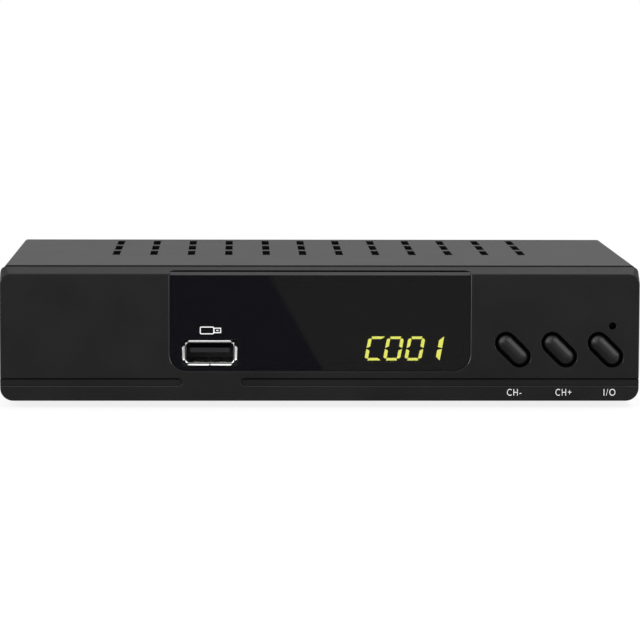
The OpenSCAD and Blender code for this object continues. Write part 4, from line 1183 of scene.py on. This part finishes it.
cover_rings = [cover_ring(cover_low.y + depth, inset) for depth, inset in edge_arc(sheet_edge)]
cover_rings += [cover_ring(cover_high.y - depth, inset) for depth, inset in reversed(edge_arc(sheet_edge))]
cover = loft("bent_cover", cover_rings)
bores = []
for y in cover_screw_ys:
    bore = [(screw_bore, x) for x in (cover_low.x - PAST, cover_high.x + PAST)]
    bores.append(turned("bore", bore, sideways(y, cover_screw_z), sides=SMALL_SIDES))
combine(cover, bores)
print("cover", len(cover.data.polygons), "faces before its slots")


# %% Helpers for trees that make shapes
def named_inputs(tree, inputs, shape):
    """Give a geometry tree its named inputs, and one geometry in and out."""
    for name, kind in {shape: "Geometry", **inputs}.items():
        tree.interface.new_socket(name, in_out="INPUT", socket_type="NodeSocket" + kind)
    tree.interface.new_socket(shape, in_out="OUTPUT", socket_type="NodeSocketGeometry")
    return add_node(tree, "NodeGroupInput").outputs


def worked_out(tree, operation, first, second):
    """The result of a sum between two numbers."""
    return add_node(tree, "ShaderNodeMath", {0: first, 1: second}, operation=operation).outputs[0]


def run_tree(obj, tree, values):
    """Run a geometry tree on an object with named values, and keep its result as a plain mesh."""
    work = obj.modifiers.new(tree.name, "NODES")
    work.node_group = tree
    for name, value in values.items():
        work[tree.interface.items_tree[name].identifier] = value
    settle(obj)


# %% Cover: the tree that cuts the slots
def slot_tree():
    tree = bpy.data.node_groups.new("vent slots", "GeometryNodeTree")
    given = named_inputs(tree, {
        "Rows": "Int", "Left columns": "Int", "Columns": "Int", "Left step": "Float", "Right step": "Float",
        "Row step": "Float", "First slot": "Vector", "Slot size": "Vector", "Finish": "Material",
        "Slot shade finish": "Material",
    }, "Sheet")

    def sum_of(operation, first, second=0.0):
        return worked_out(tree, operation, first, second)

    def coated(shape, material):
        node = add_node(tree, "GeometryNodeSetMaterial", {"Geometry": shape, "Material": material})
        return node.outputs[0]

    number = add_node(tree, "GeometryNodeInputIndex").outputs[0]
    column = sum_of("FLOOR", sum_of("DIVIDE", number, given["Rows"]))
    row = sum_of("MODULO", number, given["Rows"])
    last_left = sum_of("SUBTRACT", given["Left columns"], 1.0)
    left = sum_of("MULTIPLY", sum_of("MINIMUM", column, last_left), given["Left step"])
    over = sum_of("MAXIMUM", sum_of("SUBTRACT", column, last_left))
    right = sum_of("MULTIPLY", over, given["Right step"])
    back = sum_of("MULTIPLY", row, given["Row step"])
    offset = add_node(tree, "ShaderNodeCombineXYZ", {"X": sum_of("ADD", left, right), "Y": back}).outputs[0]
    place = add_node(tree, "ShaderNodeVectorMath", {
        0: given["First slot"], 1: offset}, operation="ADD").outputs[0]
    count = sum_of("MULTIPLY", given["Columns"], given["Rows"])
    points = add_node(tree, "GeometryNodePoints", {"Count": count, "Position": place}).outputs[0]
    block = add_node(tree, "GeometryNodeMeshCube", {"Size": given["Slot size"]}).outputs[0]
    blocks = add_node(tree, "GeometryNodeInstanceOnPoints", {"Points": points, "Instance": block}).outputs[0]
    whole = add_node(tree, "GeometryNodeRealizeInstances", {"Geometry": blocks}).outputs[0]
    cut = add_node(tree, "GeometryNodeMeshBoolean", {
        "Mesh 1": coated(given["Sheet"], given["Finish"]), "Mesh 2": coated(whole, given["Slot shade finish"]),
    }, operation="DIFFERENCE", solver="EXACT").outputs[0]
    plain = add_node(tree, "GeometryNodeRealizeInstances", {"Geometry": cut}).outputs[0]
    add_node(tree, "NodeGroupOutput", {"Sheet": plain})
    return tree


cut_slots = slot_tree()
print("nodes that cut the slots:", len(cut_slots.nodes))

# %% Cover: its slots
vents = {"rows": 3, "left": 5, "right": 7, "left_step": 10.25, "right_step": 9.97, "row_step": 18.3}
vent_size = Vector((2.0, 14.1, 4 * sheet))
vent_rear = 12.7
vent_shift = 0.55
vent_span = (vents["left"] - 1) * vents["left_step"] + vents["right"] * vents["right_step"]
first_row = cover_high.y - vent_rear - (vents["rows"] - 1) * vents["row_step"]
# The slots' walls take the finish with the painted shade
run_tree(cover, cut_slots, {
    "Rows": vents["rows"], "Left columns": vents["left"], "Columns": vents["left"] + vents["right"],
    "Left step": vents["left_step"] * MM, "Right step": vents["right_step"] * MM,
    "Row step": vents["row_step"] * MM, "First slot": at(vent_shift - vent_span / 2, first_row, cover_high.z),
    "Slot size": vent_size * MM, "Finish": cover_paint, "Slot shade finish": slot_edge_painted_shade,
})
print("finishes of the cover:", [m.name for m in cover.data.materials])
take_in(cover, cover_paint, ["top_cover"])

# %% [markdown]
# ## Screws
# Four pan-head screws hold the cover at its sides and two more come up through the floor into the panel's
# lugs. One screw is turned on a lathe and gets its cross recess. Its copies could be placed one by one,
# but a tree sets them all in the same way: on seats, which are the points of a small mesh that also holds
# the direction of each screw.

# %% One screw
# Shares of the head's radius and height at which its flat top ends and its rounding meets the side
pan = {"flat": 0.62, "side": 0.45, "steps": 8}
shank = {"radius": 1.45, "length": 3.3, "taper": 0.5, "point": 0.3}
# The cross: its size, and the shares of the head's height and of its own length at its floor
cross = {"long": 3.4, "wide": 0.7, "floor": 0.35, "narrow": 0.45, "past": 0.5}
SCREW_SIDES = 40
origin_y = -front_y / MM


def screw(name, radius, height):
    """A pan-head screw with its seat at the frame's origin and its head upwards."""
    section = [(AXIS, height)]
    for i in range(1, pan["steps"] + 1):
        a = radians(90) * i / pan["steps"]
        out = pan["flat"] + (1 - pan["flat"]) * sin(a)
        up = pan["side"] + (1 - pan["side"]) * cos(a)
        section.append((radius * out, height * up))
    section += [(radius, 0.0), (shank["radius"], 0.0), (shank["radius"], shank["taper"] - shank["length"])]
    section.append((shank["point"], -shank["length"]))
    obj = turned(name, section, upright(0, origin_y), sides=SCREW_SIDES)
    blades = []
    for lengthways in (True, False):
        blade = []
        for z, share in ((height * cross["floor"], cross["narrow"]), (height + cross["past"], 1.0)):
            long, wide = cross["long"] / 2 * share, cross["wide"] / 2
            x, y = (long, wide) if lengthways else (wide, long)
            blade.append([(i * x, origin_y + j * y, z) for i, j in ((-1, -1), (1, -1), (1, 1), (-1, 1))])
        blades.append(loft("blade", blade))
    combine(obj, blades)
    return obj


case_screw = screw("case screw", screw_head, screw_high.x - cover_high.x)
print("one screw:", len(case_screw.data.polygons), "faces")


# %% The tree that sets the screws
def screw_tree():
    tree = bpy.data.node_groups.new("screws on seats", "GeometryNodeTree")
    given = named_inputs(tree, {"Screw": "Object", "Finish": "Material"}, "Seats")
    shape = add_node(tree, "GeometryNodeObjectInfo", {"Object": given["Screw"]})
    heading = add_node(tree, "GeometryNodeInputNamedAttribute", {"Name": "heading"}, data_type="FLOAT_VECTOR")
    turn = add_node(tree, "FunctionNodeAlignRotationToVector", {"Vector": heading.outputs[0]}, axis="Z")
    copies = add_node(tree, "GeometryNodeInstanceOnPoints", {
        "Points": given["Seats"], "Instance": shape.outputs["Geometry"], "Rotation": turn.outputs[0]})
    whole = add_node(tree, "GeometryNodeRealizeInstances", {"Geometry": copies.outputs[0]})
    painted = add_node(tree, "GeometryNodeSetMaterial", {
        "Geometry": whole.outputs[0], "Material": given["Finish"]})
    add_node(tree, "NodeGroupOutput", {"Seats": painted.outputs[0]})
    return tree


def set_screws(name, seats, pattern, tree):
    """Copies of a screw on seats, each a place and a direction."""
    mesh = bpy.data.meshes.new(name)
    mesh.from_pydata([at(*place) for place, _ in seats], [], [])
    headings = mesh.attributes.new("heading", "FLOAT_VECTOR", "POINT")
    for k, (_, heading) in enumerate(seats):
        headings.data[k].vector = heading
    obj = bpy.data.objects.new(name, mesh)
    bpy.context.scene.collection.objects.link(obj)
    run_tree(obj, tree, {"Screw": pattern, "Finish": black_screw})
    return obj


seats_tree = screw_tree()
print("nodes that set the screws:", len(seats_tree.nodes))

# %% Screws on their seats
case_seats = []
for side in (-1, 1):
    for y in cover_screw_ys:
        case_seats.append(((side * cover_high.x, y, cover_screw_z), (side, 0, 0)))
case_screws = set_screws("case_screws", case_seats, case_screw, seats_tree)
take_in(case_screws, black_screw, ["cover_screws"])
chassis_foot = drawn_box("base_chassis")[0].z
lug_seats = [((side * lug["x"], lug_hole["y"], chassis_foot), (0, 0, -1)) for side in (-1, 1)]
floor_screw = screw("floor screw", screw_head, chassis_foot - drawn_box("panel_screws")[0].z)
lug_screws = set_screws("lug_screws", lug_seats, floor_screw, seats_tree)
take_in(lug_screws, black_screw, ["panel_screws"])
bpy.data.objects.remove(case_screw)
bpy.data.objects.remove(floor_screw)

# %% [markdown]
# ## Round sockets and feet
# The aerial sockets, the ring of the audio jack and the rubber feet are all turned: a profile goes once
# round an axis. Cylinders with cuts would need a bevel at every edge, and a profile holds all the
# roundings at once. The sockets' profiles are closed. A foot has a shallow dish in its sole, as moulded
# rubber feet do.

# %% Round sockets
BORES = {"aerial_in_barrel": ("aerial_barrel_in", 4.8), "aerial_out_barrel": ("aerial_barrel_out", 4.15)}
aerial_root = 0.6
ring_low, ring_high = drawn_box("audio_jack_ring")
ring_wall = 0.65


def rounded_section(corners, steps=4):
    """A closed profile from corners (radius, distance, rounding)."""
    return [(p.x, p.y) for p in outline(corners, steps)]


def outer_radius(node):
    low, high = drawn_box(node)
    return (high.x - low.x) / 2


def round_socket(name, node, section):
    centre = middle(node)
    return turned(name, section, along_depth(centre.x, centre.z), hollow=True)


for node, (name, bore) in BORES.items():
    low, high = drawn_box(node)
    root = outer_radius(node)
    radius = root - aerial_root
    section = rounded_section([
        (bore, low.y, SHARP), (root, low.y, SHARP), (root, ring_low.y, 0.2), (radius, ring_low.y, 0.1),
        (radius, high.y, 0.3), (bore, high.y, 0.15),
    ])
    take_in(round_socket(name, node, section), plated_barrel, [node])
radius = outer_radius("audio_jack_ring")
section = rounded_section([
    (radius - ring_wall, ring_low.y, SHARP), (radius, ring_low.y, SHARP),
    (radius, ring_high.y, 0.25), (radius - ring_wall, ring_high.y, 0.1),
])
audio_ring = round_socket("audio_ring", "audio_jack_ring", section)
take_in(audio_ring, plated_steel, ["audio_jack_ring"])

# %% Feet
FEET = ["foot_front_left", "foot_front_right", "foot_rear_left", "foot_rear_right"]
# The dish in the sole as shares of the radius, and the sole's edge as insets, each with its heights
DISH = [(0.5, 0.5), (0.56, 0.3), (0.6, 0.08), (0.66, 0.0)]
SOLE_EDGE = [(0.5, 0.0), (0.2, 0.08), (0.05, 0.25), (0, 0.5)]
for node in FEET:
    radius = outer_radius(node)
    centre = middle(node)
    top = drawn_box(node)[1].z
    foot_section = [(AXIS, DISH[0][1])] + [(radius * share, z) for share, z in DISH]
    foot_section += [(radius - inset, z) for inset, z in SOLE_EDGE]
    foot_section += [(radius, top), (AXIS, top)]
    foot = turned(node.replace("foot", "rubber_foot"), foot_section, upright(centre.x, centre.y))
    take_in(foot, foot_rubber, [node])

# %% [markdown]
# ## The video socket's shell
# This socket has a shell of bent sheet with sloping lower corners, so that a plug goes in only one way
# up. Its mouth is rounded, which a plain outline with a thickness wouldn't be, so it is a hollow loft
# like the data socket's.

# %% Video socket
video_low, video_high = drawn_box("video_socket_shell")
video_wall = 0.4
video_cut = Vector((1.9, 2.4))
video_corner = 0.6


def video_ring(y, inset):
    x0 = video_low.x + inset
    x1 = video_high.x - inset
    z0 = video_low.z + inset
    z1 = video_high.z - inset
    corner = video_corner - inset
    return ring(outline([
        (x0 + video_cut.x, z0, corner), (x1 - video_cut.x, z0, corner), (x1, z0 + video_cut.y, corner),
        (x1, z1, corner), (x0, z1, corner), (x0, z0 + video_cut.y, corner),
    ]), y)


# Distances from the mouth and insets, from the outside round the mouth to the inside
VIDEO_MOUTH = [(0.1, 0), (0, 0.12), (0, video_wall - 0.1), (0.15, video_wall)]
video_rings = [video_ring(video_low.y, 0)]
video_rings += [video_ring(video_high.y - depth, inset) for depth, inset in VIDEO_MOUTH]
video_rings.append(video_ring(video_low.y, video_wall))
video_shell = loft("video_shell", video_rings, hollow=True)
take_in(video_shell, plated_steel, ["video_socket_shell"])

# %% [markdown]
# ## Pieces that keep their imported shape
# The chassis, the boards and what they carry already have their right shape. They keep it, get their
# finish, and those with edges that show get a fine bevel, as bent sheet and moulded blocks have.

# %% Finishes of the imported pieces
FINISHES = {
    chassis_paint: ["base_chassis"],
    board_laminate: ["main_board"],
    black_laminate: ["front_board"],
    screw_steel: ["front_board_screws", "board_screws"],
    display_plastic: ["display_housing"],
    led_resin: ["standby_led"],
    infrared_resin: ["infrared_receiver"],
    black_nylon: ["header_strip", "av_socket_body", "power_jack_body", "video_socket_tongue"]
    + ["switch_housing_" + key for key in KEYS],
    socket_nylon_painted_shade: ["data_socket_tongue"],
    contact_brass: ["header_pins", "aerial_in_contact", "aerial_out_pin", "av_socket_contacts",
                    "data_socket_contacts", "power_jack_pin"],
    pillar_brass: ["board_pillars"],
    chip_plastic: ["processor", "memory_chip", "flash_chip"],
    heatsink_aluminium: ["heatsink"],
    capacitor_can: ["capacitors"],
    ferrite: ["inductors"],
    plated_steel: ["crystal", "tuner_can", "switch_covers"],
    white_insulator: ["aerial_in_insulator", "aerial_out_insulator"],
    orange_plastic: ["audio_jack_body"],
    plunger_plastic: ["switch_plunger_" + key for key in KEYS],
}
for material, nodes in FINISHES.items():
    for node in nodes:
        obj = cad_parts[node]
        obj.data.materials.clear()
        obj.data.materials.append(material)
print("packed pieces with a finish:", sum(len(nodes) for nodes in FINISHES.values()))

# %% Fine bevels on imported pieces
BEVELS = {
    "base_chassis": 0.12, "av_socket_body": 0.2, "power_jack_body": 0.25, "audio_jack_body": 0.2,
    "tuner_can": 0.15, "data_socket_tongue": 0.12, "video_socket_tongue": 0.12, "heatsink": 0.1,
    "capacitors": 0.4, "inductors": 0.3,
}
FLAT_ANGLE = 1
BEVEL_ANGLE = 40


def soften(obj, width):
    """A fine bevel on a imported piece, whose triangles are first joined to whole faces."""
    weld = obj.modifiers.new("join points", "WELD")
    weld.merge_threshold = MERGE * MM
    whole = obj.modifiers.new("whole faces", "DECIMATE")
    whole.decimate_type = "DISSOLVE"
    whole.angle_limit = radians(FLAT_ANGLE)
    edges = obj.modifiers.new("soft edges", "BEVEL")
    edges.width = width * MM
    edges.segments = 2
    edges.limit_method = "ANGLE"
    edges.angle_limit = radians(BEVEL_ANGLE)
    even = obj.modifiers.new("even shading", "WEIGHTED_NORMAL")
    even.keep_sharp = False


for node, width in BEVELS.items():
    soften(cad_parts[node], width)
print("packed pieces with a bevel:", len(BEVELS))

# %% [markdown]
# ## Light and stage
# The receiver stands on a pale table in an even white room. The room is plain white to the camera and in
# reflections, and dimmer as a source of light, so that six soft boxes shape the piece: a large key in front
# to the left, a smaller one in front to the right for the light along the buttons, one at each side for the
# lines of light along the rounded edges, one overhead for the cover, and one behind for the slope. The
# table shines white away from the piece and keeps its soft shadow.

# %% Room
scene = bpy.context.scene
scene.view_settings.view_transform = "Standard"
ROOM_LIGHT = 0.1


def seen_directly(tree):
    """One for camera rays and for what is seen in metal and through glass, and nothing for lighting."""
    rays = add_node(tree, "ShaderNodeLightPath").outputs
    some = worked_out(tree, "MAXIMUM", rays["Is Camera Ray"], rays["Is Glossy Ray"])
    return worked_out(tree, "MAXIMUM", some, rays["Is Transmission Ray"])


world = bpy.data.worlds.new("white room")
world.use_nodes = True
scene.world = world
room = world.node_tree
shown = seen_directly(room)
level = add_node(room, "ShaderNodeMapRange", {"Value": shown, "To Min": ROOM_LIGHT, "To Max": 1.0})
room.nodes["Background"].inputs["Color"].default_value = (1, 1, 1, 1)
room.links.new(level.outputs[0], room.nodes["Background"].inputs["Strength"])
print("light from the room:", ROOM_LIGHT)


# %% Lamps
def lamp(name, place, target, size, radiance):
    """A soft box. Its radiance is how many times brighter than the white room it looks."""
    light = bpy.data.lights.new(name, "AREA")
    light.shape = "RECTANGLE"
    light.size, light.size_y = size
    light.energy = radiance * pi * size[0] * size[1]
    obj = bpy.data.objects.new(name, light)
    obj.location = place
    obj.rotation_euler = (Vector(target) - Vector(place)).to_track_quat("-Z", "Y").to_euler()
    obj.visible_camera = False
    scene.collection.objects.link(obj)


# Place, target, size and radiance of each soft box, in metres
LAMPS = {
    "key": ((-0.44, -0.36, 0.44), (-0.03, -0.05, 0.02), (1.05, 1.05), 1.85),
    "second": ((0.46, -0.58, 0.44), (0, -0.05, 0.02), (0.45, 0.45), 3.0),
    "left": ((-0.72, -0.32, 0.32), (-0.05, 0, 0.02), (0.8, 0.6), 1.3),
    "right": ((0.8, -0.2, 0.32), (0, 0, 0.02), (0.8, 0.6), 2.0),
    "overhead": ((0.3, 0.2, 0.8), (0, 0, 0), (0.6, 0.5), 5),
    "behind": ((0, 0.65, 1.0), (0, 0.05, 0.02), (0.5, 0.5), 2),
}
for name, setting in LAMPS.items():
    lamp(name, *setting)
print("soft boxes:", len(LAMPS))

# %% Table
SHADOW_ZONE = (0.16, 0.45)
WHITE_SHARE = 0.84
table_reach = 3.0


def table_finish():
    """White to the eye, with some real shading near the piece for its shadow. It lights the piece as pale."""
    material = bpy.data.materials.new("pale_table")
    material.use_nodes = True
    tree = material.node_tree
    tree.nodes.clear()
    shown = seen_directly(tree)
    place = add_node(tree, "ShaderNodeTexCoord").outputs["Object"]
    far = add_node(tree, "ShaderNodeVectorMath", {0: place}, operation="LENGTH").outputs["Value"]
    near, clear = SHADOW_ZONE
    away = add_node(tree, "ShaderNodeMapRange", {"Value": far, "From Min": near, "From Max": clear})
    pale = add_node(tree, "ShaderNodeBsdfDiffuse", {"Color": (*grey(0.6), 1)})
    plain = add_node(tree, "ShaderNodeBsdfDiffuse", {"Color": (*grey(0.9), 1)})
    white = add_node(tree, "ShaderNodeEmission", {"Color": (*grey(1), 1), "Strength": 1.0})
    shaded = add_node(tree, "ShaderNodeMixShader", {0: WHITE_SHARE, 1: plain.outputs[0], 2: white.outputs[0]})
    seen = add_node(tree, "ShaderNodeMixShader", {
        0: away.outputs[0], 1: shaded.outputs[0], 2: white.outputs[0]})
    mixed = add_node(tree, "ShaderNodeMixShader", {0: shown, 1: pale.outputs[0], 2: seen.outputs[0]})
    add_node(tree, "ShaderNodeOutputMaterial", {"Surface": mixed.outputs[0]})
    return material


def flat_piece(name, corners, z, material):
    """A flat four-cornered piece of the stage."""
    mesh = bpy.data.meshes.new(name)
    mesh.from_pydata([(x, y, z) for x, y in corners], [], [(0, 1, 2, 3)])
    mesh.materials.append(material)
    obj = bpy.data.objects.new(name, mesh)
    scene.collection.objects.link(obj)
    return obj


table_corners = [(i * table_reach, j * table_reach) for i, j in ((-1, -1), (1, -1), (1, 1), (-1, 1))]
table = flat_piece("table", table_corners, 0, table_finish())
print("table", 2 * table_reach, "m wide")

# %% [markdown]
# ## Cards to reflect
# Glossy plastic shows what stands in front of it. Two cards lie on the table where only reflections see
# them. The first is a dark blue one, whose slanting edge crosses the window from the top to the bottom. The
# second, a grey one, lies close in front of the buttons and darkens their lower sides, so that the light
# along their upper sides stands out.

# %% Cards
card_height = 0.0005
near_point, far_point = Vector((0.00265, -0.141)), Vector((-0.0099, -0.463))
slant = (far_point.x - near_point.x) / (far_point.y - near_point.y)
card_near, card_far, card_left = -0.09, -0.6, -0.05
window_card = [(near_point.x + slant * (y - near_point.y), y) for y in (card_near, card_far)]
window_card += [(card_left, card_far), (card_left, card_near)]
button_card = [(0.01, -0.054), (0.01, -0.11), (0.09, -0.11), (0.09, -0.054)]
CARDS = {"window card": (window_card, (0.003, 0.0, 0.24)), "button card": (button_card, grey(0.35))}
for name, (corners, colour) in CARDS.items():
    paper = finish(name, colour, rough=0.9, size=0.3, depth=0.001, gloss=0.0)
    card = flat_piece(name, corners, card_height, paper)
    card.visible_camera = False
    card.visible_diffuse = False
    card.visible_shadow = False
    card.visible_transmission = False
print("cards:", len(CARDS))
